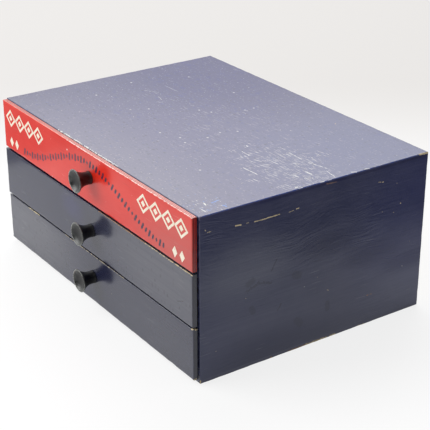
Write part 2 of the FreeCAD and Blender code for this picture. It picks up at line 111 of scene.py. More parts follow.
class Wire:
    """What a node puts out. Arithmetic on it adds nodes, on vectors where it is one."""

    def __init__(self, graph: "Graph", socket: bpy.types.NodeSocket) -> None:
        """Keeps the output and the graph that it is in."""
        self.graph, self.socket = graph, socket

    def _step(self, operation: str, other: Value) -> "Wire":
        """One step of arithmetic with another value."""
        kind = "Math" if self.socket.type == "VALUE" else "VectorMath"
        return self.graph.step(kind, operation, self, other)

    def __add__(self, other: Value) -> "Wire":
        """The sum."""
        return self._step("ADD", other)

    def __sub__(self, other: Value) -> "Wire":
        """The difference."""
        return self._step("SUBTRACT", other)

    def __rsub__(self, other: float) -> "Wire":
        """A plain number less this one."""
        return self.graph.math("SUBTRACT", other, self)

    def __mul__(self, other: Value) -> "Wire":
        """The product, axis by axis for vectors."""
        return self._step("MULTIPLY", other)

    def __truediv__(self, other: Value) -> "Wire":
        """The quotient, axis by axis for vectors."""
        return self._step("DIVIDE", other)

    def scaled(self, factor: Value) -> "Wire":
        """A vector, all of it multiplied by one number."""
        return self.graph.out(self.graph.add("VectorMath", {"operation": "SCALE"}, Vector=self,
                                             Scale=factor))

    def clamped(self) -> "Wire":
        """The same number, kept from 0 to 1."""
        return self.graph.math("MAXIMUM", self.graph.math("MINIMUM", self, 1.0), 0.0)


class Graph:
    """A node tree that is written from left to right, one call for each node."""

    MEASURES = ("LENGTH", "DISTANCE", "DOT_PRODUCT")  # a vector's numbers, put out second

    def __init__(self, tree: Tree) -> None:
        """Starts on a tree, emptied."""
        self.tree = tree
        tree.nodes.clear()

    def put(self, target: bpy.types.NodeSocket, value: Value) -> None:
        """Feeds an input.

        Args:
            target: the input.
            value: a wire or another node's output, or a constant.
        """
        if isinstance(value, Wire):
            value = value.socket
        if isinstance(value, bpy.types.NodeSocket):
            self.tree.links.new(value, target)
        elif isinstance(value, tuple) and target.type == "RGBA":
            target.default_value = (*value, 1.0)
        else:
            target.default_value = value

    def add(self, kind: str, settings: Optional[dict] = None, **inputs: Value) -> Node:
        """Adds a node.

        Args:
            kind: the node's type, without the leading ShaderNode.
            settings: the node's own properties.
            inputs: values for its inputs, by name with underscores for spaces.

        Returns:
            The new node.
        """
        node = self.tree.nodes.new(f"ShaderNode{kind}")
        for name, value in (settings or {}).items():
            setattr(node, name, value)
        for name, value in inputs.items():
            self.put(node.inputs[name.replace("_", " ")], value)
        return node

    def out(self, node: Node, key: Union[int, str] = 0) -> Wire:
        """One of the outputs of a node."""
        return Wire(self, node.outputs[key])

    def step(self, kind: str, operation: str, *values: Value) -> Wire:
        """One step of arithmetic.

        Args:
            kind: Math or VectorMath.
            operation: what is done.
            values: what it is done to.

        Returns:
            The result.
        """
        node = self.add(kind, {"operation": operation})
        for target, value in zip(node.inputs, values):
            self.put(target, value)
        return self.out(node, int(operation in self.MEASURES))

    def math(self, operation: str, *values: Value) -> Wire:
        """One step of arithmetic on numbers."""
        return self.step("Math", operation, *values)

    def vector(self, operation: str, *values: Value) -> Wire:
        """One step of arithmetic on vectors."""
        return self.step("VectorMath", operation, *values)

    def split(self, vector: Value) -> list[Wire]:
        """The X, Y and Z of a vector."""
        node = self.add("SeparateXYZ", Vector=vector)
        return [self.out(node, axis) for axis in range(3)]

    def joined(self, x: Value, y: Value, z: Value) -> Wire:
        """A vector from its X, Y and Z."""
        return self.out(self.add("CombineXYZ", X=x, Y=y, Z=z))

    def between(self, value: Value, low: Value, high: Value, start: Value = 0.0,
                end: Value = 1.0) -> Wire:
        """A smooth step.

        Args:
            value: the number that is looked up.
            low: where the step begins.
            high: where it ends.
            start: the result below it.
            end: the result above it.

        Returns:
            The stepped value.
        """
        return self.out(self.add(
            "MapRange", {"interpolation_type": "SMOOTHSTEP", "clamp": False}, Value=value,
            From_Min=low, From_Max=high, To_Min=start, To_Max=end))

    def blend(self, share: Value, first: Value, second: Value) -> Wire:
        """A colour between two others.

        Args:
            share: 0 for the first, 1 for the second.
            first: a colour.
            second: a colour.

        Returns:
            The mixed colour.
        """
        node = self.add("Mix", {"data_type": "RGBA", "blend_type": "MIX"})
        for index, value in ((0, share), (6, first), (7, second)):
            self.put(node.inputs[index], value)
        return self.out(node, 2)

    def noise(self, vector: Value, scale: Value, detail: float = 2.0, rough: float = 0.5,
              warp: float = 0.0) -> Wire:
        """Cloudy noise from 0 to 1, at a scale in cells to the millimetre."""
        return self.out(self.add("TexNoise", {"noise_dimensions": "3D", "normalize": True},
                                 Vector=vector, Scale=scale, Detail=detail, Roughness=rough,
                                 Distortion=warp))

    def most(self, *masks: Value) -> Value:
        """The strongest of several masks.

        Args:
            masks: the masks.

        Returns:
            Their running maximum, in the order given.
        """
        result = masks[0]
        for mask in masks[1:]:
            result = self.math("MAXIMUM", result, mask)
        return result

    def group(self, tree: Tree, **inputs: Value) -> Wire:
        """Places a node group with its own values, and gives the first of its outputs."""
        return self.out(self.add("Group", {"node_tree": tree}, **inputs))


class Group(Graph):
    """A shader group that is being written."""

    def __init__(self, name: str, inputs: str, outputs: str) -> None:
        """Starts a group.

        Args:
            name: what it is called.
            inputs: the names of its inputs, with a star after each vector.
            outputs: the names of its outputs, all numbers.
        """
        super().__init__(bpy.data.node_groups.new(name, "ShaderNodeTree"))
        for direction, names in (("INPUT", inputs), ("OUTPUT", outputs)):
            for word in names.split():
                kind = "NodeSocketVector" if word.endswith("*") else "NodeSocketFloat"
                self.tree.interface.new_socket(word.rstrip("*"), in_out=direction,
                                               socket_type=kind)
        node = self.tree.nodes.new("NodeGroupInput")
        self.given = [self.out(node, word.rstrip("*")) for word in inputs.split()]

    def give(self, *values: Value) -> Tree:
        """Ends the group.

        Args:
            values: what each of its outputs gives.

        Returns:
            The finished group.
        """
        node = self.tree.nodes.new("NodeGroupOutput")
        for target, value in zip(node.inputs, values):
            self.put(target, value)
        return self.tree


class Skin(Graph):
    """The node tree of one material."""

    def __init__(self, name: str) -> None:
        """Starts an empty material.

        Args:
            name: what it is called.
        """
        self.material = bpy.data.materials.new(name)
        self.material.use_nodes = True
        super().__init__(self.material.node_tree)

    def place(self) -> Wire:
        """The position on the object, in millimetres."""
        return self.out(self.add("TexCoord"), "Object") * (TO_MM, TO_MM, TO_MM)

    def turned(self, vector: Value, grain: Grain) -> Wire:
        """A vector turned so that the grain runs along X."""
        return self.out(self.add("Mapping", {"vector_type": "POINT"}, Vector=vector,
                                 Rotation=grain.value))

    def close(self, colour: Value, roughness: Value, relief: Value, ior: float,
              metallic: float = 0.0) -> Material:
        """Ends the material with its shader.

        Args:
            colour: base colour.
            roughness: roughness.
            relief: height of the surface, in millimetres.
            ior: index of refraction, which sets how strong the gloss is.
            metallic: 1 for bare metal.

        Returns:
            The material.
        """
        bump = self.add("Bump", Strength=1.0, Distance=MM, Height=relief)
        shader = self.add("BsdfPrincipled", Base_Color=colour, Roughness=roughness, IOR=ior,
                          Metallic=metallic, Normal=bump.outputs[0])
        self.add("OutputMaterial", Surface=shader.outputs[0])
        return self.material


class Effects:
    """The shader groups that the finishes share. Lengths in them are in millimetres."""

    def __init__(self) -> None:
        """Builds every group, once."""
        self.arris = self._arris()
        self.within = self._within()
        self.flecks = self._flecks()
        self.mark = self._mark()
        self.veil = self._veil()
        self.chipping = self._chipping()
        self.strokes = self._strokes()
        self.figure = self._figure()
        self.timber = self._timber()

    @staticmethod
    def _arris() -> Tree:
        """Distance from a point on a board to the nearest of the board's edges."""
        group = Group("arris distance", "Position* Low* High*", "Distance")
        place, low, high = group.given
        x, y, z = group.split(group.vector("MINIMUM", place - low, high - place))
        larger = group.math("MINIMUM", group.math("MAXIMUM", x, y), z)
        return group.give(group.math("MAXIMUM", group.math("MINIMUM", x, y), larger))

    @staticmethod
    def _within() -> Tree:
        """1 inside a box and 0 outside, with an edge that wanders a little."""
        group = Group("within", "Position* Low* High* Wander", "Mask")
        place, low, high, wander = group.given
        x, y, z = group.split(group.vector("MINIMUM", place - low, high - place))
        depth = group.math("MINIMUM", group.math("MINIMUM", x, y), z)
        drift = group.noise(place, 0.12, 3.0) - 0.45
        return group.give(group.between(depth - drift * wander, 0.0, 0.15))

    @staticmethod
    def _flecks() -> Tree:
        """Scattered marks on a face: scratches where a cell is long, specks where round."""
        group = Group("flecks", "Position* Turn Cell* Share Breadth Bend Seed", "Mask")
        place, turn, cell, share, breadth, bend, seed = group.given
        place = group.out(group.add("VectorRotate", {"rotation_type": "Z_AXIS"},
                                    Vector=place, Angle=turn))
        drift = group.out(group.add("TexNoise", {"noise_dimensions": "3D"}, Vector=place,
                                    Scale=0.04, Detail=1.0), "Color")
        moved = place + (drift - (0.5, 0.5, 0.5)).scaled(bend)
        web = group.add("TexVoronoi", {"voronoi_dimensions": "2D", "feature": "F1"},
                        Vector=moved / cell + group.joined(seed, seed, 0.0), Scale=1.0,
                        Randomness=1.0)
        parts = group.add("SeparateColor", {"mode": "RGB"}, Color=web.outputs["Color"])
        chance, size, force = (group.out(parts, index) for index in range(3))
        reach = breadth * (size * 0.8 + 0.35)
        spot = group.between(group.out(web, "Distance"), reach * 0.5, reach, 1.0, 0.0)
        shown = group.math("LESS_THAN", chance, share) * (force * 0.7 + 0.3)
        return group.give(spot * shown)

    @staticmethod
    def _mark() -> Tree:
        """A mark along a line, broken up where Breakup is high: mostly a worn place, also darker
        streaks and a painted highlight.
        """
        group = Group("mark", "Position* Patch Start* End* Width Breakup", "Mask")
        place, patch, start, end, width, breakup = group.given
        along, offset = end - start, place - start
        square = group.vector("DOT_PRODUCT", along, along)
        share = (group.vector("DOT_PRODUCT", offset, along)
                 / group.math("MAXIMUM", square, 0.001)).clamped()
        gap = group.vector("DISTANCE", offset, along.scaled(share))
        reach = width * (1.0 - breakup * group.between(patch, 0.42, 0.58))
        return group.give(group.between(gap, reach * 0.5, reach, 1.0, 0.0))

    @staticmethod
    def _veil() -> Tree:
        """A soft-edged oval region: 1 in its middle, 0 outside."""
        group = Group("veil", "Position* Centre* Radii*", "Mask")
        place, centre, radii = group.given
        length = group.vector("LENGTH", (place - centre) / radii)
        return group.give(group.between(length, 0.15, 1.0, 1.0, 0.0))

    @staticmethod
    def _chipping() -> Tree:
        """Paint lost along the edges of a board."""
        group = Group("chipping", "Position* Distance Reach Amount Fineness", "Mask")
        place, distance, reach, amount, fineness = group.given
        worn = (group.noise(place, fineness * 0.2, 1.0) * 0.6
                + group.noise(place, fineness, 3.0, 0.65) * 0.4)
        excess = (worn - (0.78 - amount * 0.4)) * 8.0
        reach = group.math("MINIMUM", excess, 1.6) * reach
        shown = group.between(distance, reach * 0.7, reach, 1.0, 0.0)
        return group.give(shown * group.math("GREATER_THAN", reach, 0.02))

    @staticmethod
    def _strokes() -> Tree:
        """Height of brush strokes: long ridges along X of the position given."""
        group = Group("strokes", "Position* Length Spacing", "Height")
        place, length, spacing = group.given
        fine = place / group.joined(length, spacing, spacing)
        broad = group.noise(fine * (0.25, 0.25, 0.25), 1.0, 1.0)
        return group.give(group.noise(fine, 1.0, 4.0, 0.62, 0.4) * 0.7 + broad * 0.3)

    @staticmethod
    def _figure() -> Tree:
        """Height of the wood's own ripples, which show through a coat of paint."""
        group = Group("figure", "Position* Length Spacing", "Height")
        place, length, spacing = group.given
        swirl = group.noise(place * (0.010, 0.022, 0.022), 1.0, 2.0)
        moved = (place / group.joined(length, spacing, spacing)
                 + group.joined(0.0, swirl * 14.0, 0.0))
        patch = group.between(group.noise(place, 0.02, 2.0), 0.35, 0.65, 0.25, 1.0)
        return group.give(group.noise(moved, 1.0, 2.0, 0.5, 0.8) * patch)

    @staticmethod
    def _timber() -> Tree:
        """Wood grain along X of the position given: rings, streaks and pores."""
        group = Group("timber", "Position* Ring", "Tone Height")
        place, ring = group.given
        drift = group.noise(place * (0.004, 0.03, 0.03), 1.0, 2.0, 0.5, 0.6)
        _, y, z = group.split(place)
        rings = (y + z * 0.6) / ring + drift * 9.0
        wave = group.math("ABSOLUTE", group.math("FRACT", rings) - 0.5)
        streak = group.noise(place * (0.02, 0.9, 0.9), 1.0, 4.0, 0.6)
        pores = group.noise(place * (0.12, 3.0, 3.0), 1.0, 2.0)
        return group.give(wave * 0.9 + streak * 0.65 - 0.1, pores * 0.6 + streak * 0.4)


# ------------------------------------------------------------------------------ finishes


@dataclass(frozen=True)
class Veil:
    """A soft oval region of the cabinet, in millimetres, and the tint that it gives."""

    centre: Triple
    radii: Triple
    amount: float = 1.0
    # The default tint, a pale grey, is used as painted reflection on the sides.
    tint: Triple = (0.20, 0.21, 0.24)


@dataclass(frozen=True)
class Flecks:
    """One kind of scattered scratch or speck, everywhere or in one region."""

    length: float
    width: float
    share: float
    breadth: float
    strength: float
    tone: Tone = Tone.CHALK
    seed: float = 0.0
    region: Optional[Veil] = None
    bend: float = 5.0
    turn: float = 0.0


@dataclass(frozen=True)
class Mark:
    """A mark between two points of the cabinet, in millimetres: mostly a worn place; a few are
    darker streaks, and the lines along the top's right arris are a painted highlight.
    """

    start: Triple
    end: Triple
    width: float
    tone: Tone
    breakup: float
    strength: float = 1.0


@dataclass(frozen=True)
class Plies:
    """The layers that show round the edge of a plywood panel."""

    face: float
    thickness: float
    count: int = 3
    glue: float = 0.30
    strength: float = 0.75


@dataclass(frozen=True)
class Paint:
    """A brushed coat of old oil paint."""

    colour: Triple
    faded: Triple
    roughness: float
    ior: float
    haze: float
    chipping: float
    edge_tone: Tone = Tone.WOOD
    flecks: Sequence[Flecks] = ()
    marks: Sequence[Mark] = ()
    veils: Sequence[Veil] = ()
    stroke_size: Pair = (70.0, 1.5)
    stroke_depth: float = 0.035
    figure_size: Pair = (26.0, 2.6)
    figure_depth: float = 0.05
    grit_depth: float = 0.015
    chip_fineness: float = 0.35
    chip_depth: float = 0.05
    worn_roughness: float = 0.35


@dataclass(frozen=True)
class Wood:
    """Unpainted wood."""

    light: Triple
    dark: Triple
    ring: float = 6.0
    roughness: float = 0.62


NAVY = (0.016, 0.019, 0.072)
NAVY_FADED = (0.050, 0.052, 0.105)
# Painted shade: a darker copy of the navy, for the right side and the bottom board; the left
# side keeps NAVY.
SHADED_SIDE_NAVY = (0.010, 0.015, 0.062)
FRONT_NAVY = (0.010, 0.012, 0.040)
FRONT_FADED = (0.020, 0.022, 0.046)
RED = (0.60, 0.018, 0.008)
RED_FADED = (0.67, 0.048, 0.032)
CREAM = (0.80, 0.74, 0.60)
INK = (0.022, 0.014, 0.045)
BEECH = Wood((0.52, 0.36, 0.20), (0.38, 0.24, 0.12))
BOX_WOOD = Wood((0.56, 0.41, 0.25), (0.42, 0.28, 0.15))
FLOOR_PLY = Wood((0.60, 0.45, 0.28), (0.49, 0.35, 0.20), 14.0)
SLAT_PLY = Wood((0.58, 0.43, 0.27), (0.46, 0.32, 0.18), 9.0)


class Finisher:
    """Makes the materials and puts them on pieces."""

    def __init__(self) -> None:
        """Builds the shader groups that the finishes share."""
        self.effects = Effects()

    @staticmethod
    def dress(piece: Piece, material: Material) -> None:
        """Gives a piece one material and no other."""
        piece.data.materials.clear()
        piece.data.materials.append(material)

    def _region(self, skin: Skin, place: Wire, veil: Veil) -> Wire:
        """How far inside a soft region a point is."""
        return skin.group(self.effects.veil, Position=place, Centre=veil.centre,
                          Radii=veil.radii)

    def _damage(self, skin: Skin, paint: Paint, place: Wire, turned: Wire,
                chips: Wire) -> dict[Tone, Wire]:
        """Where the coat is damaged.

        Args:
            skin: the material's graph.
            paint: the coat.
            place: position in millimetres.
            turned: the same with the grain along X.
            chips: where the edges are chipped.

        Returns:
            A mask for each tone that shows, each kept as one running maximum.
        """
        masks: dict[Tone, Wire] = {paint.edge_tone: chips}

        def lose(tone: Tone, mask: Wire, strength: float) -> None:
            """Adds one kind of damage."""
            masks[tone] = skin.most(mask * strength, masks.get(tone, 0.0))

        for fleck in paint.flecks:
            share: Value = fleck.share
            if fleck.region:
                share = self._region(skin, place, fleck.region) * share
            lose(fleck.tone, skin.group(
                self.effects.flecks, Position=turned, Turn=fleck.turn,
                Cell=(fleck.length, fleck.width, 1.0), Share=share, Breadth=fleck.breadth,
                Bend=fleck.bend, Seed=fleck.seed), fleck.strength)
        patch = skin.noise(place, 0.45, 3.0, 0.6)
        for mark in paint.marks:
            lose(mark.tone, skin.group(
                self.effects.mark, Position=place, Patch=patch, Start=mark.start,
                End=mark.end, Width=mark.width, Breakup=mark.breakup), mark.strength)
        return masks

    def painted(self, name: str, edges: Box, paint: Paint, grain: Grain,
                bare_inside: Optional[Box] = None, plies: Optional[Plies] = None) -> Material:
        """A painted board, worn along its edges and scratched.

        Args:
            name: the material's name.
            edges: the box whose edges are the ones that wear.
            paint: the coat.
            grain: the direction of its brush strokes and scratches.
            bare_inside: a box in which the wood was left unpainted.
            plies: the layers that show round the edge of plywood.

        Returns:
            The material.
        """
        effects, skin = self.effects, Skin(name)
        place = skin.place()
        turned = skin.turned(place, grain)
        distance = skin.group(effects.arris, Position=place, Low=edges[0], High=edges[1])
        chips = skin.group(effects.chipping, Position=place, Distance=distance, Reach=1.0,
                           Amount=paint.chipping, Fineness=paint.chip_fineness)
        strokes = skin.group(effects.strokes, Position=turned, Length=paint.stroke_size[0],
                             Spacing=paint.stroke_size[1])
        cloud = skin.noise(place, 0.018, 5.0, 0.6)
        fade = skin.between(cloud * 0.65 + strokes * 0.35, 0.36, 0.66, 0.0, paint.haze)
        colour = skin.blend(fade, paint.colour, paint.faded)
        # The veils lay tints over parts of the board: most of them are painted sheen, painted
        # reflection and painted shade.
        for veil in paint.veils:
            broken = (self._region(skin, place, veil)
                      * skin.between(strokes, 0.2, 0.8, 0.7, 1.0))
            colour = skin.blend(broken * veil.amount, colour, veil.tint)
        damage = self._damage(skin, paint, place, turned, chips)
        for tone, mask in damage.items():
            colour = skin.blend(mask, colour, tone.value)
        worn = skin.most(*[mask for tone, mask in damage.items() if tone is not Tone.SHADE])
        if plies:
            colour = self._plied(skin, place, colour, plies)
        if bare_inside:
            timber = skin.group(effects.timber, Position=turned, Ring=5.0)
            raw = skin.group(effects.within, Position=place, Low=bare_inside[0],
                             High=bare_inside[1], Wander=5.0)
            colour = skin.blend(raw, colour, skin.blend(timber, BEECH.dark, BEECH.light))
            worn = skin.most(worn, raw)
        rough = (cloud - 0.5) * 0.08 + paint.roughness + worn * paint.worn_roughness
        figure = skin.group(effects.figure, Position=turned, Length=paint.figure_size[0],
                            Spacing=paint.figure_size[1])
        relief = (strokes * paint.stroke_depth + figure * paint.figure_depth
                  + skin.noise(place, 0.8, 3.0, 0.6) * paint.grit_depth
                  - chips * paint.chip_depth)
        return skin.close(colour, rough.clamped(), relief, paint.ior)

    @staticmethod
    def _plied(skin: Skin, place: Wire, colour: Wire, plies: Plies) -> Wire:
        """Adds the glue lines between the plies behind a panel's face.

        Args:
            skin: the material's graph.
            place: position in millimetres.
            colour: the colour so far.
            plies: the layers.

        Returns:
            The colour with the lines.
        """
        depth = skin.split(place)[1] - plies.face
        layer = depth / (plies.thickness / plies.count)
        gap = skin.math("ABSOLUTE", layer - skin.math("ROUND", layer))
        line = (skin.between(gap, plies.glue / 2, plies.glue, 1.0, 0.0)
                * skin.between(depth, plies.glue, plies.glue * 4) * plies.strength)
        return skin.blend(line, colour, Tone.SHADE.value)

    def bare(self, name: str, wood: Wood, grain: Grain) -> Material:
        """Unpainted wood, greyed by handling, with dark end grain.

        Args:
            name: the material's name.
            wood: its colours.
            grain: the direction of the grain.

        Returns:
            The material.
        """
        skin = Skin(name)
        place = skin.place()
        timber = skin.add("Group", {"node_tree": self.effects.timber},
                          Position=skin.turned(place, grain), Ring=wood.ring)
        colour = skin.blend(skin.out(timber, "Tone"), wood.light, wood.dark)
        grime = skin.noise(place, 0.03, 4.0, 0.6)
        soiled = tuple(0.45 * part for part in wood.dark)
        colour = skin.blend(skin.between(grime, 0.45, 0.75, 0.0, 0.35), colour, soiled)
        facing = skin.turned(skin.out(skin.add("TexCoord"), "Normal"), grain)
        end = skin.between(skin.math("ABSOLUTE", skin.split(facing)[0]), 0.6, 0.8)
        speckled = skin.between(skin.noise(place, 1.6, 3.0, 0.6), 0.35, 0.65, 0.55, 0.85)
        colour = skin.blend(end * speckled, colour, soiled)
        rough = skin.between(grime, 0.3, 0.7, wood.roughness - 0.06, wood.roughness + 0.1)
        return skin.close(colour, rough, skin.out(timber, "Height") * 0.12, 1.45)

    @staticmethod
    def steel() -> Material:
        """Dull steel for pins and screws, browned in patches."""
        skin = Skin("dull steel")
        patch = skin.noise(skin.place(), 0.9, 4.0, 0.6)
        colour = skin.blend(skin.between(patch, 0.5, 0.68), (0.36, 0.34, 0.32),
                            (0.16, 0.075, 0.035))
        rough = skin.between(patch, 0.3, 0.7, 0.35, 0.7)
        return skin.close(colour, rough, patch * 0.05, 1.5, 0.85)

    @staticmethod
    def lacquer(name: str, centre: Triple, radius: float) -> Material:
        """Black lacquer on a turned knob, rubbed grey on its rim, most on the rim's left and
        lower side, which is partly wear and partly painted highlight, with painted shade in the
        middle of its dish.

        Args:
            name: the material's name.
            centre: the middle of the knob's face.
            radius: the radius of its rim.

        Returns:
            The material.
        """
        skin = Skin(name)
        place = skin.place()
        x, y, z = skin.split(place - centre)
        reach = skin.vector("LENGTH", skin.joined(x, 0.0, z))
        cloud = skin.noise(place, 0.25, 4.0, 0.6)
        fine = skin.noise(place, 1.2, 4.0, 0.65)
        colour = skin.blend(skin.between(cloud, 0.45, 0.7), (0.004, 0.004, 0.005),
                            (0.018, 0.019, 0.018))
        # Painted shade: the outer part of the dish is made lighter and its middle left near
        # black, standing in for the shade in the bowl.
        dish_painted_shading = (skin.between(reach, 4.5, radius - 0.8) * skin.between(y, 1.6, 3.0, 1.0, 0.0)
                 * skin.between(fine * 0.5 + cloud * 0.5, 0.42, 0.58, 0.12, 1.0))
        colour = skin.blend(dish_painted_shading, colour, (0.068, 0.072, 0.068))
        # The rim is rubbed grey, most on its left and lower side: partly wear, partly a painted
        # highlight where the lip catches the light.
        rubbed = (skin.between(reach, radius - 1.7, radius - 0.5)
                  * skin.between(y, 0.4, 1.4, 1.0, 0.0)
                  * skin.between(z * 0.5 + x, -8.0, 7.0, 1.0, 0.22)
                  * skin.between(fine, 0.38, 0.60))
        colour = skin.blend(rubbed * 0.9, colour, (0.44, 0.45, 0.41))
        relief = (skin.math("SINE", reach * 9.0) * 0.12 + fine) * 0.025
        return skin.close(colour, skin.between(cloud, 0.3, 0.7, 0.29, 0.36), relief, 1.5)

    @staticmethod
    def printed(name: str, colour: Triple, under: Triple) -> Material:
        """A printed mark, rubbed through in specks.

        Args:
            name: the material's name.
            colour: the ink.
            under: the paint below it.

        Returns:
            The material.
        """
        skin = Skin(name)
        place = skin.place()
        fine = skin.noise(place, 0.9, 4.0, 0.7)
        lost = skin.between(fine * 0.75 + skin.noise(place, 0.12, 2.0) * 0.25, 0.56, 0.66)
        tint = skin.blend(skin.between(fine, 0.3, 0.7, 0.0, 0.35), colour,
                          tuple(0.8 * part for part in colour))
        return skin.close(skin.blend(lost, tint, under), 0.34, fine * 0.02, 1.45)


# ------------------------------------------------------------------------------ studio


def show(thing: Piece, place: Vector, facing: Vector) -> None:
    """Adds a lamp or camera to the scene.

    Args:
        thing: the lamp or camera.
        place: where it stands, in metres.
        facing: the direction that it faces.
    """
    thing.location = place
    thing.rotation_euler = facing.to_track_quat("-Z", "Y").to_euler()
    bpy.context.scene.collection.objects.link(thing)


def stage(thing: Piece, skin: Skin, shader: bpy.types.NodeSocket) -> None:
    """Ends a part of the studio that isn't part of the cabinet.

    Args:
        thing: the part.
        skin: its material.
        shader: what its material shows.
    """
    skin.add("OutputMaterial", Surface=shader)
    thing.data.materials.append(skin.material)


@dataclass
class Viewpoint:
    """Where the cabinet is seen from. Lengths are in metres and angles in degrees."""

    target: Triple = (0.0382, -0.0154, 0.080)
    azimuth: float = 55.51
    elevation: float = 24.70
    distance: float = 1.2125
    lens: float = 104.45
    sensor: float = 36.0

    def place(self) -> None:
        """Adds the camera and makes it the scene's."""
        turn, rise = math.radians(self.azimuth), math.radians(self.elevation)
        away = Vector((math.sin(turn) * math.cos(rise), -math.cos(turn) * math.cos(rise),
                       math.sin(rise)))
        data = bpy.data.cameras.new("camera")
        data.lens, data.sensor_width, data.sensor_fit = self.lens, self.sensor, "HORIZONTAL"
        camera = bpy.data.objects.new("camera", data)
        show(camera, Vector(self.target) + away * self.distance, -away)
        bpy.context.scene.camera = camera


@dataclass
class Softbox:
    """A square area light, with its place in metres and its power in watts."""

    name: str
    place: Triple
    aim: Triple
    power: float
    side: float = 2.0

    def light(self) -> None:
        """Adds the light."""
        data = bpy.data.lights.new(self.name, "AREA")
        data.shape, data.size, data.energy = "SQUARE", self.side, self.power
        show(bpy.data.objects.new(self.name, data), Vector(self.place),
             Vector(self.aim) - Vector(self.place))


@dataclass
class Card:
    """A card out of view that only shows in gloss. Lengths in metres, angles in degrees."""

    name: str
    middle: Triple
    size: Pair
    turn: float
    tilt: float = 90.0
    colour: Triple = (0.010, 0.011, 0.018)

    def place(self) -> None:
        """Stands the card on the floor, or lays it there."""
        card = primitive("plane", size=1.0, location=self.middle,
                         rotation=(math.radians(self.tilt), 0.0, math.radians(self.turn)))
        card.name, card.scale = self.name, (*self.size, 1.0)
        for ray in ("camera", "diffuse", "transmission", "shadow", "volume_scatter"):
            setattr(card, f"visible_{ray}", False)
        skin = Skin(f"{self.name} grey")
        stage(card, skin, skin.add("BsdfDiffuse", Color=self.colour).outputs[0])


@dataclass
class Studio:
    """A pale floor under plain soft light."""

    floor_half: float = 6.0
    floor_colour: Triple = (0.97, 0.97, 0.975)
    floor_near: Triple = (1.0, 1.0, 1.0)
    # Painted shade: the floor's glow darkens towards the back, where the light falls off.
    floor_far_shade: Triple = (0.735, 0.712, 0.690)
    fade: Pair = (0.10, 0.62)
    fade_along: Pair = (-0.82, 0.57)
    glow: float = 0.80
    ambient: float = 0.42
    cards: tuple[Card, ...] = (
        Card("side_card", (0.34, 0.16, 0.21), (0.544, 0.42), 107.1),
        Card("camera_card", (0.60, -0.85, 0.65), (2.08, 1.30), 35.2),
        Card("floor_card", (-0.62, -0.40, 0.001), (0.50, 0.50), 0.0, 0.0, (0.30, 0.30, 0.31)),
    )
    softboxes: tuple[Softbox, ...] = (
        Softbox("back_softbox", (-1.47, 1.00, 2.00), (0.0, 0.0, 0.1), 42.0),
        Softbox("front_softbox", (-1.20, -1.60, 1.50), (0.0, 0.0, 0.05), 50.0),
    )

    def build(self) -> None:
        """Adds the floor, the cards, the surrounding light and the lamps."""
        self._floor()
        for card in self.cards:
            card.place()
        self._world()
        for softbox in self.softboxes:
            softbox.light()

    @staticmethod
    def _seen(graph: Graph) -> Value:
        """1 where the camera sees, or sees by reflection or through glass."""
        path = graph.add("LightPath").outputs
        return graph.most(*(path[f"Is {ray} Ray"]
                            for ray in ("Camera", "Glossy", "Transmission")))

    def _floor(self) -> None:
        """Adds the floor, which the camera sees nearly white with a soft shadow on it."""
        floor = primitive("plane", size=self.floor_half * 2)
        floor.name = "floor"
        skin = Skin("pale floor")
        x, y, _ = skin.split(skin.out(skin.add("TexCoord"), "Object"))
        across, back = self.fade_along
        tint = skin.blend(skin.between(x * across + y * back, *self.fade), self.floor_near,
                          self.floor_far_shade)
        matt = skin.add("BsdfDiffuse", Color=self.floor_colour)
        light = skin.add("Emission", Color=tint, Strength=1.0)
        shader = skin.add("MixShader")
        shares = (self._seen(skin) * self.glow, matt.outputs[0], light.outputs[0])
        for target, value in zip(shader.inputs, shares):
            skin.put(target, value)
        stage(floor, skin, shader.outputs[0])

    def _world(self) -> None:
        """Lights the surroundings, which show as white to the camera and in reflections."""
        world = bpy.data.worlds.new("studio")
        world.use_nodes = True
        bpy.context.scene.world = world
        graph = Graph(world.node_tree)
        strength = graph.between(self._seen(graph), 0.0, 1.0, self.ambient, 1.0)
        light = graph.add("Background", Color=(1.0, 1.0, 1.0), Strength=strength)
        graph.add("OutputWorld", Surface=light.outputs[0])


# ------------------------------------------------------------------------------ the bench


def take(*pieces: Piece) -> None:
    """Selects some pieces and nothing else.

    Args:
        pieces: the pieces, of which the last becomes the active one.
    """
    if bpy.context.object and bpy.context.object.mode != "OBJECT":
        bpy.ops.object.mode_set(mode="OBJECT")
    bpy.ops.object.select_all(action="DESELECT")
    for piece in pieces:
        piece.select_set(True)
        bpy.context.view_layer.objects.active = piece


def primitive(kind: str, **settings: object) -> Piece:
    """Adds a primitive.

    Args:
        kind: the end of its operator's name.
        settings: what the operator is given.

    Returns:
        The new piece, which alone is selected.
    """
    bpy.ops.object.select_all(action="DESELECT")
    getattr(bpy.ops.mesh, f"primitive_{kind}_add")(**settings)
    return bpy.context.object


def edit(piece: Piece) -> None:
    """Opens a mesh for work, with all of it selected.

    Args:
        piece: the piece whose mesh it is.
    """
    take(piece)
    bpy.ops.object.mode_set(mode="EDIT")
    bpy.ops.mesh.select_mode(type="VERT")
    bpy.ops.mesh.select_all(action="SELECT")


def shut() -> None:
    """Ends the work on an open mesh."""
    bpy.ops.object.mode_set(mode="OBJECT")


def settle() -> None:
    """Puts the place of the selected piece in its mesh."""
    bpy.ops.object.transform_apply(location=True, rotation=True, scale=True)


def lay_down(piece: Piece, name: str) -> None:
    """Puts a piece's place in its mesh.

    Args:
        piece: the piece.
        name: what it and its mesh are called from now on.
    """
    take(piece)
    settle()
    piece.name = piece.data.name = name


def modify(piece: Piece, kind: str, **settings: object) -> None:
    """Gives a piece a modifier and applies it.

    Args:
        piece: the piece.
        kind: the modifier's type.
        settings: the modifier's own properties.
    """
    take(piece)
    modifier = piece.modifiers.new(kind.lower(), kind)
    for name, value in settings.items():
        setattr(modifier, name, value)
    bpy.ops.object.modifier_apply(modifier=modifier.name)


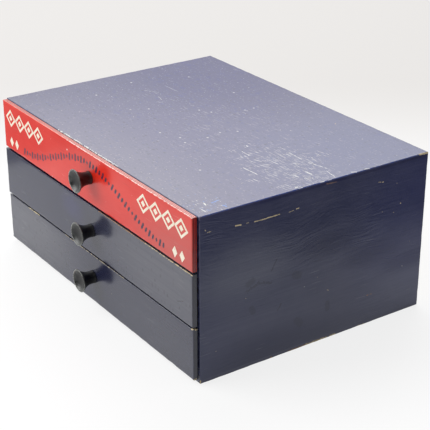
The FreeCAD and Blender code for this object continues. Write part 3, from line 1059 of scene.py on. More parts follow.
def pick(piece: Piece, kind: str, test: Callable[[Part], bool]) -> None:
    """Selects the parts of an open mesh that pass a test.

    Args:
        piece: the piece, in edit mode.
        kind: VERT or EDGE.
        test: says whether a vertex or edge is wanted.
    """
    bpy.ops.mesh.select_mode(type=kind)
    bpy.ops.mesh.select_all(action="DESELECT")
    form = bmesh.from_edit_mesh(piece.data)
    for part in {"VERT": form.verts, "EDGE": form.edges}[kind]:
        if test(part):
            part.select_set(True)
    bmesh.update_edit_mesh(piece.data)


def round_over(width: float, segments: int = 3) -> None:
    """Rounds the picked edges, to a width in millimetres."""
    bpy.ops.mesh.bevel(offset=width * MM, segments=segments, profile=0.5)


def score(axis: int, places: Sequence[float]) -> None:
    """Cuts all round an open mesh.

    Args:
        axis: the axis that the cuts are square to.
        places: where they cross it, in millimetres.
    """
    normal = [float(axis == index) for index in range(3)]
    for place in places:
        bpy.ops.mesh.select_all(action="SELECT")
        bpy.ops.mesh.bisect(plane_co=[place * MM * part for part in normal], plane_no=normal)


def grid(axis: int, low: float, high: float, pitch: float, strip: Pair) -> None:
    """Cuts an open mesh across, closer near its ends, so that its edges can take knocks.

    Args:
        axis: the axis along which the cuts follow each other.
        low: where the mesh begins, in millimetres.
        high: where it ends.
        pitch: about how far apart the cuts are.
        strip: how far from each end the two closer cuts are.
    """
    count = max(1, round((high - low) / pitch))
    score(axis, [low + (high - low) * index / count for index in range(1, count)]
          + [low + step for step in strip] + [high - step for step in strip])


def lathe(profile: Sequence[Pair], centre: Vector, flats: int) -> Piece:
    """Turns a profile about an axis that runs forwards.

    Args:
        profile: radius and height of each corner, in millimetres, from axis to axis.
        centre: where the axis meets height 0, in metres.
        flats: how many flats there are in a whole turn.

    Returns:
        The turned piece.
    """
    points = [centre + Vector((radius, -height, 0.0)) * MM for radius, height in profile]
    piece = primitive("plane", size=MM, location=points[0])
    settle()
    edit(piece)
    bpy.ops.mesh.merge(type="CENTER")
    for start, end in zip(points, points[1:]):
        bpy.ops.mesh.extrude_vertices_move(TRANSFORM_OT_translate={"value": end - start})
    bpy.ops.mesh.select_all(action="SELECT")
    bpy.ops.mesh.spin(steps=flats, angle=math.tau, center=centre, axis=(0.0, -1.0, 0.0))
    bpy.ops.mesh.select_all(action="SELECT")
    bpy.ops.mesh.remove_doubles(threshold=WELD)
    bpy.ops.mesh.normals_make_consistent(inside=False)
    shut()
    return piece


def knock(piece: Piece, near: Callable[[Vector], float], depth: float, size: float) -> None:
    """Wears a piece inwards along its edges, unevenly.

    Args:
        piece: the piece, with enough vertices along its edges.
        near: up to 1, how exposed to knocks a place in millimetres is.
        depth: the deepest knock, in millimetres.
        size: the usual length of a knock, in millimetres.
    """
    exposed = piece.vertex_groups.new(name="exposed")
    for vertex in piece.data.vertices:
        share = near(vertex.co * TO_MM)
        if share > 0.0:
            exposed.add([vertex.index], share, "REPLACE")
    knocks = bpy.data.textures.new(f"{piece.name} knocks", "CLOUDS")
    knocks.noise_scale, knocks.noise_depth = size * MM, 2
    knocks.contrast, knocks.intensity, knocks.use_clamp = 2.6, 0.72, True
    modify(piece, "DISPLACE", texture=knocks, texture_coords="LOCAL", vertex_group="exposed",
           mid_level=0.0, strength=-depth * MM)
    piece.vertex_groups.clear()


def hand_over(piece: Piece, node: str, word: str, body: str, slot: str, material: Material,
              crease: float) -> None:
    """Ends a piece that stands for a solid.

    Args:
        piece: the piece.
        node: the solid's node.
        word: what is added to the node's name to name the piece.
        body: the body that it rides on.
        slot: not used.
        material: its finish.
        crease: the angle in degrees from which its edges look sharp.
    """
    lay_down(piece, f"{node}_{word}")
    bpy.ops.object.shade_smooth_by_angle(angle=math.radians(crease))
    Finisher.dress(piece, material)
    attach(piece, body)
    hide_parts(node)
    LOG.info("%s is finished", piece.name)


# ------------------------------------------------------------------------------ drawers


@dataclass
class Knob:
    """The turned knob of one drawer. Its lengths are in millimetres."""

    level: Level
    finisher: Finisher
    foot: float = 6.5
    foot_ease: float = 0.3
    foot_top: Pair = (6.44, 1.2)
    waist: float = 6.2
    taper: float = 2.4
    flare: float = 2.5
    curve: int = 14
    rim: float = 1.5
    lip: float = 0.75
    lip_turn: Pair = (-80.0, 115.0)
    lip_steps: int = 10
    dish: float = 4.3
    bowl: tuple[Pair, ...] = ((0.94, 0.12), (0.84, 0.34), (0.72, 0.54), (0.59, 0.70),
                              (0.45, 0.83), (0.31, 0.92), (0.16, 0.98), (0.0, 1.0))
    bore: float = 1.8
    end_wall: float = 2.5
    flats: int = 72
    crease: float = 40.0

    def profile(self, radius: float, length: float) -> list[Pair]:
        """The outline from the bottom of the screw hole round to the middle of the face.

        Args:
            radius: radius of the rim.
            length: height of the knob.

        Returns:
            Radius and height of each corner.
        """
        climb, rise = radius - self.lip - self.waist, length - self.rim - self.taper
        waist = [(self.waist + climb * (step / self.curve) ** self.flare,
                  self.taper + rise * step / self.curve) for step in range(self.curve + 1)]
        first, last = self.lip_turn
        turns = [math.radians(first + (last - first) * step / self.lip_steps)
                 for step in range(self.lip_steps + 1)]
        lip = [(radius + self.lip * (math.cos(turn) - 1.0),
                length + self.lip * (math.sin(turn) - 1.0)) for turn in turns]
        (edge, brow), face = lip[-1], length - self.dish
        bowl = [(edge * reach, brow + (face - brow) * sunk) for reach, sunk in self.bowl]
        bottom = face - self.end_wall
        return [(0.0, bottom), (self.bore, bottom), (self.bore, 0.0),
                (self.foot - self.foot_ease, 0.0), (self.foot, self.foot_ease),
                self.foot_top] + waist + lip + bowl

    def build(self) -> None:
        """Turns the knob and lacquers it."""
        node = self.level.node("knob")
        low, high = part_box(node)
        centre = Vector(((low.x + high.x) / 2, high.y, (low.z + high.z) / 2))
        radius, length = (high.x - low.x) * TO_MM / 2, (high.y - low.y) * TO_MM
        knob = lathe(self.profile(radius, length), centre, self.flats)
        face = tuple(Vector((centre.x, low.y, centre.z)) * TO_MM)
        hand_over(knob, node, "turned", self.level.body, "black_lacquer",
                  self.finisher.lacquer(f"{node} lacquer", face, radius), self.crease)


@dataclass
class FrontPanel:
    """The plywood overlay panel of one drawer. Its lengths are in millimetres."""

    level: Level
    finisher: Finisher
    slot: str
    arris: float = 0.45
    plies: int = 3
    groove: float = 0.16
    groove_depth: float = 0.12
    pitch: float = 4.0
    strip: Pair = (1.35, 2.85)
    wear: float = 0.30
    wear_reach: float = 1.6
    knock_size: float = 6.0
    screw_hole: float = 1.9
    drill: float = 20.0
    crease: float = 32.0

    def build(self) -> None:
        """Cuts, eases, grooves, bores, knocks and paints the panel."""
        node = self.level.node("front_panel")
        low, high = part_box(node)
        panel = primitive("cube", size=1.0, location=(low + high) / 2, scale=high - low)
        settle()
        low, high = low * TO_MM, high * TO_MM
        edit(panel)
        face = (low.y + self.arris * 0.5) * MM
        pick(panel, "EDGE", lambda part: all(end.co.y < face for end in part.verts))
        round_over(self.arris)
        self._groove(panel, low, high)
        for axis in (0, 2):
            grid(axis, low[axis], high[axis], self.pitch, self.strip)
        shut()
        self._bore(panel)

        def near(place: Vector) -> float:
            """How exposed a place is, round the face."""
            side = min(place.x - low.x, high.x - place.x, place.z - low.z, high.z - place.z)
            return 1.0 - max(side, place.y - low.y) / self.wear_reach

        knock(panel, near, self.wear, self.knock_size)
        material = self.finisher.painted(
            f"{node} paint", (tuple(low), tuple(high)), FRONT_PAINTS[self.level],
            Grain.UPRIGHT_ACROSS, plies=Plies(low.y, high.y - low.y, self.plies))
        hand_over(panel, node, "board", self.level.body, self.slot, material, self.crease)

    def _groove(self, panel: Piece, low: Vector, high: Vector) -> None:
        """Sinks the glue lines between the plies a little, all round the edge.

        Args:
            panel: the panel, in edit mode.
            low: its lowest corner, in millimetres.
            high: its highest corner.
        """
        layer = (high.y - low.y) / self.plies
        lines = [low.y + layer * index for index in range(1, self.plies)]
        for line in lines:
            score(1, (line - self.groove / 2, line, line + self.groove / 2))
        shrink = [(part - self.groove_depth) / part for part in (high - low) / 2]
        pick(panel, "VERT",
             lambda part: any(abs(part.co.y * TO_MM - line) < SAME for line in lines))
        bpy.ops.transform.resize(value=(shrink[0], 1.0, shrink[2]),
                                 center_override=(low + high) / 2 * MM)

    def _bore(self, panel: Piece) -> None:
        """Bores the hole for the knob's screw.

        Args:
            panel: the panel.
        """
        low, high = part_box(self.level.node("knob"))
        drill = primitive("cylinder", vertices=24, radius=self.screw_hole * MM,
                          depth=self.drill * MM, rotation=(QUARTER, 0.0, 0.0),
                          location=((low.x + high.x) / 2, high.y, (low.z + high.z) / 2))
        modify(panel, "BOOLEAN", operation="DIFFERENCE", solver="EXACT", object=drill)
        take(drill)
        bpy.ops.object.delete()


@dataclass
class Ornament:
    """Lozenges and an arch of stitches printed on the red panel, in millimetres."""

    level: Level
    finisher: Finisher
    proud: float = 0.05
    lozenge: Pair = (21.5, 19.0)
    band: float = 2.3
    centre: Pair = (7.0, 6.4)
    lozenges: int = 4
    pitch: float = 20.2
    group_middle: float = 129.0
    lift: float = 9.8
    diamond: Pair = (8.0, 11.0)
    diamond_middles: Pair = (148.8, 160.2)
    diamond_drop: float = 16.0
    long_stitch: Pair = (2.6, 7.8)
    short_stitch: Pair = (2.6, 5.4)
    stitch_end: float = 0.45
    stitch_lean: float = math.radians(14)
    stitch_pitch: float = 5.7
    run: int = 6
    bead: Pair = (3.2, 4.6)
    arch_reach: float = 131.0
    arch_foot: float = -17.2
    arch_height: float = 32.0

    @property
    def origin(self) -> Vector:
        """The middle of the panel's face, in metres."""
        low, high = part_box(self.level.node("front_panel"))
        return Vector(((low.x + high.x) / 2, low.y, (low.z + high.z) / 2))

    def build(self) -> None:
        """Makes the cream print and the dark one."""
        self._print(self._lozenges() + self._diamonds(), "lozenge_prints",
                    self.finisher.printed("cream print", CREAM, RED))
        self._print(self._arch(), "stitch_prints",
                    self.finisher.printed("dark print", INK, RED))

    def _plate(self, x: float, z: float, size: Pair, pointed: bool = True) -> Piece:
        """A flat shape on the panel's face.

        Args:
            x: its middle, from the panel's middle.
            z: the same upwards.
            size: its width and height.
            pointed: a diamond, and not an oblong with rounded ends.

        Returns:
            The plate.
        """
        plate = primitive("circle", vertices=4, radius=0.5, fill_type="NGON",
                          location=self.origin + Vector((x, 0.0, z)) * MM,
                          rotation=(QUARTER, 0.0, 0.0))
        if not pointed:
            edit(plate)
            middle, side = plate.location, math.sqrt(2)
            bpy.ops.transform.rotate(value=math.radians(45), orient_axis="Y",
                                     center_override=middle)
            bpy.ops.transform.resize(value=(side, 1.0, side), center_override=middle)
            shut()
        plate.scale = (size[0] * MM, size[1] * MM, 1.0)
        lay_down(plate, "plate")
        if not pointed:
            edit(plate)
            bpy.ops.mesh.bevel(offset=size[0] * self.stitch_end * MM, segments=3,
                               affect="VERTICES")
            shut()
        return plate

    def _lozenges(self) -> list[Piece]:
        """The lozenges towards each end: an open diamond round a filled one."""
        model = self._plate(0.0, 0.0, self.lozenge)
        edit(model)
        bpy.ops.mesh.inset(thickness=self.band * MM)
        bpy.ops.mesh.delete(type="FACE")
        shut()
        take(model, self._plate(0.0, 0.0, self.centre))
        bpy.ops.object.join()
        model = bpy.context.object
        middle = (self.lozenges - 1) / 2
        copies = [self._placed(model, side * self.group_middle + (index - middle) * self.pitch,
                               self.lift, 0.0)
                  for side in (-1, 1) for index in range(self.lozenges)]
        take(model)
        bpy.ops.object.delete()
        return copies

    def _diamonds(self) -> list[Piece]:
        """Two diamonds below the outer end of each row of lozenges."""
        return [self._plate(side * x, -self.diamond_drop, self.diamond)
                for side in (-1, 1) for x in self.diamond_middles]

    def _arch(self) -> list[Piece]:
        """Long and short stitches along an arch over the knob, in runs between beads."""
        long, short = (self._plate(0.0, 0.0, size, pointed=False)
                       for size in (self.long_stitch, self.short_stitch))
        bead = self._plate(0.0, 0.0, self.bead)
        reach, height = self.arch_reach, self.arch_height
        count = round(2 * reach / self.stitch_pitch)
        plates = []
        for index in range(count + 1):
            x = -reach + 2 * reach * index / count
            angle = math.pi * x / reach
            z = self.arch_foot + height * (1.0 + math.cos(angle)) / 2
            slope = math.atan(-height * math.pi / reach * math.sin(angle) / 2)
            place_in_run = (index - count // 2) % (self.run + 1)
            if place_in_run == 0:
                plates.append(self._placed(bead, x, z, slope))
            else:
                stitch = long if place_in_run % 2 else short
                plates.append(self._placed(stitch, x, z, slope - self.stitch_lean))
        take(long, short, bead)
        bpy.ops.object.delete()
        return plates

    def _placed(self, model: Piece, x: float, z: float, turn: float) -> Piece:
        """A copy of a plate at its place on the panel.

        Args:
            model: the plate.
            x: how far it is moved, in millimetres.
            z: the same upwards.
            turn: how far it is turned first.

        Returns:
            The copy.
        """
        copy = model.copy()
        copy.data = model.data.copy()
        bpy.context.scene.collection.objects.link(copy)
        edit(copy)
        bpy.ops.transform.rotate(value=turn, orient_axis="Y", center_override=self.origin)
        bpy.ops.transform.translate(value=(x * MM, 0.0, z * MM))
        shut()
        return copy

    def _print(self, plates: list[Piece], name: str, material: Material) -> None:
        """Joins plates into one print with a little thickness.

        Args:
            plates: its parts.
            name: the name of the print.
            material: its ink.
        """
        take(*plates)
        bpy.ops.object.join()
        sheet = bpy.context.object
        edit(sheet)
        bpy.ops.mesh.normals_make_consistent(inside=False)
        shut()
        modify(sheet, "SOLIDIFY", thickness=self.proud * 2 * MM, offset=0.0)
        lay_down(sheet, name)
        self.finisher.dress(sheet, material)
        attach(sheet, self.level.body)
        LOG.info("%s are on", name)


@dataclass
class Stock:
    """The finishes that the case and the drawers share."""

    finisher: Finisher

    def __post_init__(self) -> None:
        """Makes each finish once."""
        bare = self.finisher.bare
        self.runner = bare("runner beech", BEECH, Grain.FLAT_BACKWARD)
        self.across = bare("box wood across", BOX_WOOD, Grain.FLAT_ACROSS)
        self.backward = bare("box wood backward", BOX_WOOD, Grain.FLAT_BACKWARD)
        self.floor = bare("floor ply", FLOOR_PLY, Grain.FLAT_ACROSS)
        self.slat = bare("slat ply", SLAT_PLY, Grain.FLAT_BACKWARD)
        self.steel = self.finisher.steel()

    def dress(self, start: str, finishes: dict[str, Material]) -> None:
        """Puts finishes on solids that stay.

        Args:
            start: how their names begin.
            finishes: a finish for each word that their names go on with.
        """
        for name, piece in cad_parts.items():
            for word, material in finishes.items():
                if name.startswith(start + word):
                    self.finisher.dress(piece, material)


@dataclass
class Drawer:
    """One drawer: its panel, its knob and the finishes of its box."""

    level: Level
    finisher: Finisher
    stock: Stock

    def build(self) -> None:
        """Makes the new pieces and dresses the ones that stay."""
        red = self.level is Level.TOP
        FrontPanel(self.level, self.finisher, "red_paint" if red else "navy_paint").build()
        Knob(self.level, self.finisher).build()
        if red:
            Ornament(self.level, self.finisher).build()
        stock = self.stock
        stock.dress(self.level.node("box_"), {
            "front": stock.across, "back": stock.across, "left_side": stock.backward,
            "right_side": stock.backward, "floor": stock.floor})
        stock.dress(self.level.node(""), {
            "slat": stock.slat, "knob_screw": stock.steel, "floor_pins": stock.steel})


# ------------------------------------------------------------------------------ the case


@dataclass
class CaseBoard:
    """A painted board of the case, its outer arrises worn. Lengths are in millimetres."""

    node: str
    finisher: Finisher
    paint: Paint
    grain: Grain
    bay: Box
    ease: float = 0.55
    pitch: float = 5.0
    strip: Pair = (1.55, 3.15)
    wear: float = 0.35
    wear_reach: float = 1.8
    knock_size: float = 8.0
    thin: float = 20.0
    crease: float = 32.0
    worn_corner: float = 0.0

    def build(self, low: Vector, high: Vector) -> None:
        """Eases, knocks and paints a welded copy of the board's solid.

        Args:
            low: the lowest corner of the whole case, in millimetres.
            high: its highest corner.
        """
        board = bpy.data.objects.new("blank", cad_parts[self.node].data.copy())
        bpy.context.scene.collection.objects.link(board)
        edit(board)
        bpy.ops.mesh.remove_doubles(threshold=WELD)
        bpy.ops.mesh.dissolve_limited(angle_limit=math.radians(1))
        if self.worn_corner:
            pick(board, "EDGE", lambda edge: all(
                abs(end.co.x * TO_MM - low.x) + abs(end.co.y * TO_MM - high.y) < SAME
                for end in edge.verts))
            round_over(self.worn_corner, 4)
        pick(board, "EDGE", lambda edge: self._outer(edge, low, high))
        round_over(self.ease)
        for axis, (start, end) in enumerate(zip(*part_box(self.node))):
            start, end = start * TO_MM, end * TO_MM
            if end - start > self.thin:
                grid(axis, start, end, self.pitch, self.strip)
        shut()

        def near(place: Vector) -> float:
            """How exposed a place is, along the edges of the whole case."""
            gaps = sorted(min(place[axis] - low[axis], high[axis] - place[axis])
                          for axis in range(3))
            return 1.0 - gaps[1] / self.wear_reach

        knock(board, near, self.wear, self.knock_size)
        material = self.finisher.painted(f"{self.node} paint", (tuple(low), tuple(high)),
                                         self.paint, self.grain, self.bay)
        hand_over(board, self.node, "board", "case", "navy_paint", material, self.crease)

    @staticmethod
    def _outer(edge: bmesh.types.BMEdge, low: Vector, high: Vector) -> bool:
        """Whether an edge lies along an edge of the whole case.

        Args:
            edge: an edge of a board.
            low: the lowest corner of the case, in millimetres.
            high: its highest corner.

        Returns:
            Whether two sides of the case meet in it.
        """
        faces = 0
        for axis in range(3):
            places = [end.co[axis] * TO_MM for end in edge.verts]
            faces += any(all(abs(place - side[axis]) < SAME for place in places)
                         for side in (low, high))
        return faces == 2


@dataclass
class Case:
    """The painted case with its runners and pins."""

    finisher: Finisher
    stock: Stock
    top_corner: float = 2.2
    painted_in: float = 6.0
    bare_depth: float = 0.6

    def _bay(self) -> Box:
        """The space behind the painted mouth, sunk a little into the boards round it."""
        left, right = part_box("case_left_side")[1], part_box("case_right_side")[0]
        floor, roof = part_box("case_bottom")[1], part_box("case_top")[0]
        sunk = self.bare_depth
        low = Vector((left.x, roof.y, floor.z)) * TO_MM + Vector((-sunk, self.painted_in, -sunk))
        high = Vector((right.x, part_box("case_back")[0].y, roof.z)) * TO_MM
        return tuple(low), tuple(high + Vector((sunk, sunk, sunk)))

    def build(self) -> None:
        """Makes the boards and dresses the rest."""
        bay = self._bay()
        low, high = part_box("case_top")
        low = Vector((low.x, low.y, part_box("case_bottom")[0].z)) * TO_MM
        for node, (paint, grain) in CASE_PAINTS.items():
            corner = self.top_corner if node == "case_top" else 0.0
            board = CaseBoard(node, self.finisher, paint, grain, bay, worn_corner=corner)
            board.build(low, high * TO_MM)
        stock = self.stock
        stock.dress("", {"case_back": stock.floor, "case_pins": stock.steel,
                         "back_pins": stock.steel, "runner_pins": stock.steel})
        for node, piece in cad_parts.items():
            if node.endswith("runner"):
                self.finisher.dress(piece, stock.runner)


# ------------------------------------------------------------------------------ wear, painted sheen and painted shade


# The right face of the case and its top one, in millimetres.
RIGHT, _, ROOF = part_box("case_top")[1] * TO_MM


def on_top(x: float, y: float, across: float, back: float, amount: float = 1.0,
           tint: Triple = (0.0, 0.0, 0.0), deep: float = 2.0) -> Veil:
    """A region of the top's face."""
    return Veil((x, y, ROOF), (across, back, deep), amount, tint)


def on_side(y: float, z: float, back: float, up: float, amount: float,
            tint: Triple = Veil.tint, x: float = RIGHT) -> Veil:
    """A region of a side's face."""
    return Veil((x, y, z), (60.0, back, up), amount, tint)


def marks(axis: int, level: float, tone: Tone, *rows: Sequence[float]) -> list[Mark]:
    """Marks of one tone that lie in one plane.

    Args:
        axis: the axis that the plane is square to.
        level: where the plane crosses it.
        tone: what shows.
        rows: for each mark the two places of its start, the two of its end, its width, its
            breakup and, where that isn't 1, its strength.

    Returns:
        The marks.
    """
    return [Mark((*row[:axis], level, *row[axis:2]),
                 (*row[2:2 + axis], level, *row[2 + axis:4]), row[4], tone, *row[5:])
            for row in rows]


# The parts of the top that the kinds of scratches keep to, and how the scratches lean.
FACE = on_top(0, 0, 3000, 3000, deep=1.6)
FIELD = on_top(140, -3, 88, 52, deep=1.6)
WIDE = on_top(60, 10, 190, 90, deep=1.6)
CORNER = on_top(160, -110, 30, 26, deep=1.6)
BACK = on_top(-120, 50, 190, 170, deep=1.6)
LEAN = math.radians(-9)

# Tints laid over parts of the paint: painted sheen on the navy fronts, painted shade on the
# right side and on the right ends of the front panels.
FRONT_PAINTED_SHEEN = (0.200, 0.202, 0.215)
SIDE_PAINTED_SHADE = (0.006, 0.010, 0.050)
FLANK_PAINTED_SHADE = (0.003, 0.004, 0.020)

# Where single pale specks lie on the top, in millimetres.
SPECKS = (
    (-34.9, 15.5), (-23.2, 22.2), (-9.0, 53.4), (-8.8, 64.1), (-58.9, 74.9), (35.4, 12.6),
    (-146.9, 3.5), (-66.5, -24.3), (-75.0, -40.6), (-128.5, 64.6), (95.2, -70.8),
    (-132.7, -47.1), (32.9, -20.4), (28.7, -3.1), (-3.7, -50.5), (31.7, -45.1), (18.2, -41.9),
)

TOP_PAINT = Paint(
    NAVY, NAVY_FADED, 0.33, 1.5, haze=0.7, chipping=0.34, edge_tone=Tone.SKY,
    stroke_depth=0.012, figure_depth=0.03, grit_depth=0.035,
    # Painted sheen: lavender and pale tints lighten most of the top and its front, a bluish one
    # its back right, and a dark one keeps its back left darker.
    veils=(on_top(60, -40, 420, 330, 0.9, (0.092, 0.086, 0.192)),
           on_top(178, 127, 230, 260, 0.8, (0.066, 0.080, 0.196)),
           on_top(-140, 90, 230, 170, 0.95, (0.008, 0.007, 0.105)),
           on_top(40, -150, 300, 120, 0.75, (0.150, 0.142, 0.205))),
    flecks=(Flecks(7, 7, 0.18, 0.10, 0.65, region=FACE),
            Flecks(3.2, 3.2, 0.30, 0.13, 0.28, seed=5, region=FACE),
            Flecks(4.5, 3, 0.45, 0.32, 0.13, seed=31, region=FACE),
            Flecks(7, 3.4, 0.42, 0.34, 0.45, Tone.SHADE, 37, FACE),
            Flecks(15, 8, 0.55, 0.36, 0.14, Tone.BLUE, 43, BACK),
            Flecks(9, 5, 0.35, 0.34, 0.16, Tone.BLUE, 47, FACE),
            Flecks(20, 1.4, 0.06, 0.20, 0.4, Tone.CHALK, 3, FACE, turn=LEAN),
            Flecks(17, 1.5, 0.95, 0.22, 0.85, Tone.CHALK, 7, FIELD, 6, LEAN),
            Flecks(32, 1.9, 0.70, 0.22, 0.95, Tone.CHALK, 11, FIELD, 9, LEAN),
            Flecks(12, 1.1, 0.95, 0.26, 0.75, Tone.CHALK, 53, FIELD, 6, LEAN),
            Flecks(26, 1.5, 0.55, 0.20, 0.42, Tone.CHALK, 23, WIDE, 9, LEAN),
            Flecks(8, 1.4, 0.55, 0.26, 0.8, Tone.SKY, 13, CORNER),
            Flecks(7, 1.8, 0.50, 0.26, 0.9, Tone.CHALK, 17, CORNER)),
    marks=(*marks(2, ROOF, Tone.CHALK, *((x, y, x + 0.5, y, 1.25, 0.1, 0.6) for x, y in SPECKS),
                  (113, -36, 132, -34.7, 0.6, 0.5), (80, -14, 92.5, -14.8, 0.5, 0.6),
                  (106, 20, 126, 19.2, 0.55, 0.75), (136.5, 19.5, 156, 24.5, 0.6, 0.75),
                  (161.5, 20.4, 175.5, 18, 0.5, 0.6), (152, 4.2, 159, 4.8, 0.9, 0.5),
                  (153, -9, 157.5, -8.5, 0.8, 0.5), (163, -6, 166, 0.8, 0.8, 0.8),
                  (71, -2.3, 73, -2.3, 0.9, 0.2), (-118, 2.2, -103, 10.4, 0.4, 0.6, 0.5),
                  (-92.6, 3.7, -81.2, 0.9, 0.4, 0.6, 0.6),
                  (-117.7, 27.5, -94.6, 28.7, 0.4, 0.6, 0.5),
                  (156, -108, 161, -109, 0.9, 0.5), (167, -117, 171.5, -116.2, 1, 0.5),
                  (-66, -126.8, 46, -126.8, 1.3, 0.9), (174.6, -25, 174.2, -23, 1, 0.3)),
           *marks(2, ROOF, Tone.WOOD, (72.6, 103, 73.2, 103, 0.8, 0.2)),
           *marks(2, ROOF, Tone.SKY, (160, -102.5, 158.5, -94.5, 1, 0.5, 0.8),
                  (169, -97.2, 173, -96.4, 0.9, 0.4, 0.8)),
           # Painted highlight: a bright blue line along the top's right arris, where its rounded
           # edge catches the light.
           *marks(2, 159.7, Tone.BLUE, (177.8, -124, 177.8, 30, 0.8, 0.6, 0.7),
                  (177.8, 30, 177.8, 120, 0.7, 0.9, 0.6)),
           *marks(2, 159.9, Tone.CHALK, (177.6, -23.6, 177.4, -20, 0.8, 0.2),
                  (177.5, 0, 177.5, 4, 0.9, 0.3), (177.6, 9, 177.6, 12, 0.7, 0.3)),
           Mark((175, 37, 160), (177.4, 41, 159.9), 0.8, Tone.CHALK, 0.4),
           Mark((176.6, 51, 160), (177.6, 56, 159.9), 0.8, Tone.CHALK, 0.4),
           *marks(0, RIGHT, Tone.WOOD, (116, 159.8, 127, 159.4, 1.6, 0.4),
                  (-59, 153, -54, 152.6, 0.5, 0.9, 0.6), (-112, 154.6, -111.6, 154.6, 0.6, 0.2),
                  (92, 154, 92.6, 154, 0.6, 0.2, 0.7)),
           *marks(0, RIGHT, Tone.RUST, (6.9, 157, 21.7, 155.8, 0.7, 0.95, 0.6))))

SIDE_PAINT = Paint(
    SHADED_SIDE_NAVY, NAVY_FADED, 0.31, 1.48, haze=0.42, chipping=0.34, figure_depth=0.26,
    flecks=(Flecks(10, 10, 0.016, 0.05, 0.9, Tone.WOOD),
            Flecks(45, 3, 0.12, 0.16, 0.35, Tone.SHADE, 5),
            Flecks(60, 2, 0.12, 0.14, 0.10, seed=9)),
    # Painted reflection and painted shade: pale and bluish veils lighten parts of the side, and
    # darker navy veils lay a band that falls towards the back and a patch near the foot at the
    # front.
    veils=(on_side(-20, 30, 240, 150, 0.14), on_side(-78, 98, 74, 42, 0.24),
           on_side(115, 30, 80, 44, 0.18), on_side(12, 97, 52, 17, 0.75, SIDE_PAINTED_SHADE),
           on_side(62, 74, 52, 19, 0.95, SIDE_PAINTED_SHADE),
           on_side(110, 55, 52, 16, 0.95, SIDE_PAINTED_SHADE),
           on_side(-60, 12, 120, 30, 0.80, SIDE_PAINTED_SHADE),
           on_side(10, 148, 230, 30, 0.12, (0.20, 0.20, 0.28)),
           on_side(118, 90, 120, 130, 0.08, (0.10, 0.12, 0.50))),
    marks=(*marks(0, RIGHT, Tone.WOOD, (-90.5, 142.5, -85, 142, 0.9, 0.4),
                  (-79.5, 142, -77, 142, 0.45, 0.3, 0.7), (-71, 141.2, -58.5, 140.9, 0.7, 0.5),
                  (-58, 141.2, -44.4, 141.2, 0.85, 0.6),
                  (-34.2, 140.4, -29.3, 141, 0.45, 0.5, 0.7),
                  (-26.2, 141.6, -23.6, 141.7, 0.6, 0.3),
                  (-119, 144, -114.8, 144.2, 0.6, 0.9, 0.7), (67, 143.8, 73, 142.8, 0.7, 0.9),
                  (96, 115.9, 96.3, 115.9, 0.7, 0.2), (88, 108.6, 88.4, 108.6, 0.5, 0.2, 0.7),
                  (74, 112.8, 74.2, 112.8, 0.5, 0.2, 0.6),
                  (13.2, 50.1, 13.6, 50.1, 0.6, 0.2, 0.7),
                  (12.2, 50.9, 12.6, 50.9, 0.5, 0.2, 0.7),
                  (-121.4, 147, -120.8, 146.2, 0.6, 0.3, 0.8)),
           *marks(0, RIGHT, Tone.RUST, (61, 30.4, 67.5, 30, 0.7, 0.9)),
           # Soft darker streaks and blots in the side's colour.
           *marks(0, RIGHT, Tone.SHADE, (-46.5, 98, -51.9, 89, 1.2, 0.6, 0.45),
                  (-78, 76.5, -66, 81.4, 2.6, 0.8, 0.35), (-66, 81.4, -52, 77, 2.4, 0.8, 0.35),
                  (-40.4, 52.7, -44, 47.8, 1.4, 0.7, 0.4), (13, 37, 13.4, 31.5, 4, 0.1, 0.32),
                  (-25.5, 77.4, -21.5, 75.8, 5.4, 0.1, 0.28),
                  (-77, 83, -72, 85, 4.6, 0.2, 0.26), (-73, 58, -71, 54, 4, 0.1, 0.28),
                  (-22, 30, -18, 26, 5.4, 0.1, 0.25)),
           *marks(0, RIGHT, Tone.CHALK, (-14.8, 62.1, -14.2, 62.1, 0.4, 0.2, 0.4),
                  (103.3, 49, 103.7, 49, 0.5, 0.2, 0.4))))

LEFT_PAINT = Paint(
    NAVY, NAVY_FADED, 0.33, 1.5, haze=0.5, chipping=0.38, figure_depth=0.16,
    flecks=(Flecks(11, 11, 0.016, 0.05, 0.9, Tone.WOOD, 2),
            Flecks(26, 1.8, 0.010, 0.20, 0.6, seed=8),
            Flecks(45, 3, 0.12, 0.16, 0.35, Tone.SHADE, 15)),
    # Painted reflection and painted shade, as on the right side: a pale veil and a darker navy
    # one.
    veils=(on_side(30, 90, 80, 50, 0.12, x=-RIGHT),
           on_side(-70, 40, 70, 30, 0.55, SIDE_PAINTED_SHADE, x=-RIGHT)),
    marks=(*marks(0, -RIGHT, Tone.WOOD, (22, 132, 47, 131, 0.7, 0.7)),
           *marks(0, -RIGHT, Tone.SHADE, (-64, 96, -58, 88, 0.9, 0.5, 0.45)),
           *marks(0, -RIGHT, Tone.RUST, (60, 14, 71, 13, 0.8, 0.8))))

BASE_PAINT = Paint(
    SHADED_SIDE_NAVY, NAVY_FADED, 0.31, 1.48, haze=0.42, chipping=0.40, figure_depth=0.10,
    # Painted reflection: a pale veil on the board's flank, like the side's.
    veils=(on_side(-20, 4, 240, 150, 0.12),),
    marks=(*marks(0, RIGHT, Tone.RUST, (-51, 1, -49.5, 1, 0.9, 0.3),
                  (-31, 0.9, -12, 0.9, 1.3, 0.75)),
           *marks(0, RIGHT, Tone.WOOD, (-12, 1, 13, 0.9, 1.6, 0.65, 0.9),
                  (18, 0.9, 24, 0.9, 1.4, 0.5, 0.9), (52, 0.7, 60, 0.7, 0.8, 0.9, 0.8)),
           *marks(0, 177.6, Tone.WOOD, (-126.6, 1, -126.6, 3, 1, 0.4))))

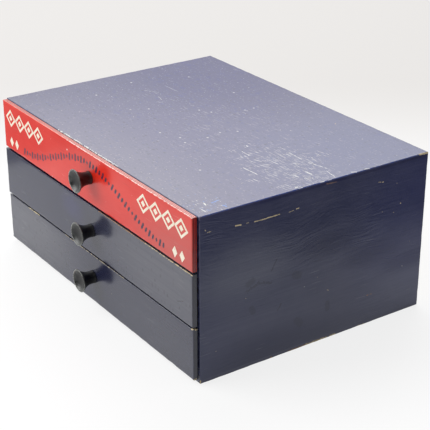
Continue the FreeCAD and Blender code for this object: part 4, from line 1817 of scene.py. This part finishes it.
RED_PAINT = Paint(
    RED, RED_FADED, 0.21, 1.42, haze=0.55, chipping=0.32, figure_depth=0.03,
    # Painted light: the paler, pinker right part is painted sheen, the lighter salmon top face a
    # painted highlight, and the dark red right end painted shade; a deeper red band lies left of
    # the middle.
    veils=(Veil((40, -133, 118), (90, 8, 16), 0.25, (0.44, 0.010, 0.010)),
           Veil((165, -132.6, 118), (110, 8, 50), 0.55, (0.34, 0.11, 0.10)),
           Veil((20, -130, 159.6), (420, 12, 0.8), 0.6, (0.80, 0.27, 0.19)),
           Veil((175.7, -130, 134), (1.2, 30, 120), 0.75, (0.17, 0.008, 0.006))),
    flecks=(Flecks(8, 8, 0.03, 0.06, 0.7), Flecks(50, 1.6, 0.16, 0.16, 0.16),
            Flecks(60, 3, 0.2, 0.2, 0.12, Tone.SHADE, 4)),
    marks=(*marks(1, -132.6, Tone.CHALK, (-38.9, 149.6, -38.3, 149.6, 0.9, 0.1)),
           *marks(1, -132.2, Tone.CHALK, (-40, 159.5, 175, 159.5, 0.8, 0.95, 0.6))))

FRONT_PAINT = Paint(FRONT_NAVY, FRONT_FADED, 0.18, 1.57, haze=0.6, chipping=0.34,
                    grit_depth=0.006)


def front_flecks(*seeds: float) -> list[Flecks]:
    """The scratches and specks of a navy panel.

    Args:
        seeds: a seed for each kind.

    Returns:
        The four kinds.
    """
    kinds = ((50, 1.8, 0.2, 0.16, 0.08, Tone.CHALK), (60, 3, 0.2, 0.2, 0.25, Tone.SHADE),
             (5, 8, 0.35, 0.32, 0.35, Tone.SHADE), (9, 9, 0.02, 0.05, 0.6, Tone.WOOD))
    return [Flecks(*kind, seed) for kind, seed in zip(kinds, seeds)]


FRONT_PAINTS = {
    Level.BOTTOM: replace(
        FRONT_PAINT, flecks=front_flecks(6, 8, 27, 4),
        # Painted sheen: pale grey veils lighten parts of the face.
        veils=(Veil((-130, -132.1, 30), (150, 20, 60), 0.38, FRONT_PAINTED_SHEEN),
               Veil((140, -132.1, 30), (160, 20, 60), 0.14, FRONT_PAINTED_SHEEN),
               # Painted shade: the panel's right end is kept dark.
               Veil((175.7, -130, 30), (1.2, 30, 120), 0.95, FLANK_PAINTED_SHADE)),
        marks=(*marks(1, -131.9, Tone.WOOD, (-132, 54.4, -109, 54.4, 0.9, 0.8),
                      (-60, 54.4, 60, 54.4, 0.6, 0.95, 0.6)),
               *marks(2, 54.3, Tone.WOOD, (172.5, -131.9, 175.5, -129, 1.5, 0.35)),
               *marks(0, 175.4, Tone.WOOD, (-131.8, 4.6, -129, 5.4, 0.9, 0.4)))),
    Level.MIDDLE: replace(
        FRONT_PAINT, flecks=front_flecks(0, 4, 19, 0),
        # Painted sheen: a pale grey veil lightens the right of the face.
        veils=(Veil((150, -132.8, 84), (190, 20, 80), 0.36, FRONT_PAINTED_SHEEN),
               Veil((-34, -132.8, 93), (30, 20, 18), 0.30, (0.03, 0.03, 0.15)),
               # Painted shade: the panel's right end is kept dark.
               Veil((175.7, -130, 82), (1.2, 30, 120), 0.95, FLANK_PAINTED_SHADE)),
        marks=(*marks(1, -132.5, Tone.RUST, (18, 107, 100, 107, 0.8, 0.7)),
               *marks(1, -132.5, Tone.WOOD, (100, 107, 176, 107, 0.9, 0.75)),
               *marks(1, -132.9, Tone.SHADE, (151.8, 72.3, 161.3, 76.4, 0.7, 0.5, 0.6)))),
    Level.TOP: RED_PAINT,
}

CASE_PAINTS = {
    "case_top": (TOP_PAINT, Grain.FLAT_ACROSS),
    "case_bottom": (BASE_PAINT, Grain.FLAT_ACROSS),
    "case_left_side": (LEFT_PAINT, Grain.UPRIGHT_BACKWARD),
    "case_right_side": (SIDE_PAINT, Grain.UPRIGHT_BACKWARD),
}


# ------------------------------------------------------------------------------ the cabinet


def main() -> None:
    """Sets up the studio and builds the cabinet in it."""
    logging.basicConfig(level=logging.INFO)
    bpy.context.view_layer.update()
    bpy.context.scene.view_settings.view_transform = "Standard"
    Viewpoint().place()
    Studio().build()
    finisher = Finisher()
    stock = Stock(finisher)
    Case(finisher, stock).build()
    for level in Level:
        Drawer(level, finisher, stock).build()


if __name__ == "__main__":
    main()
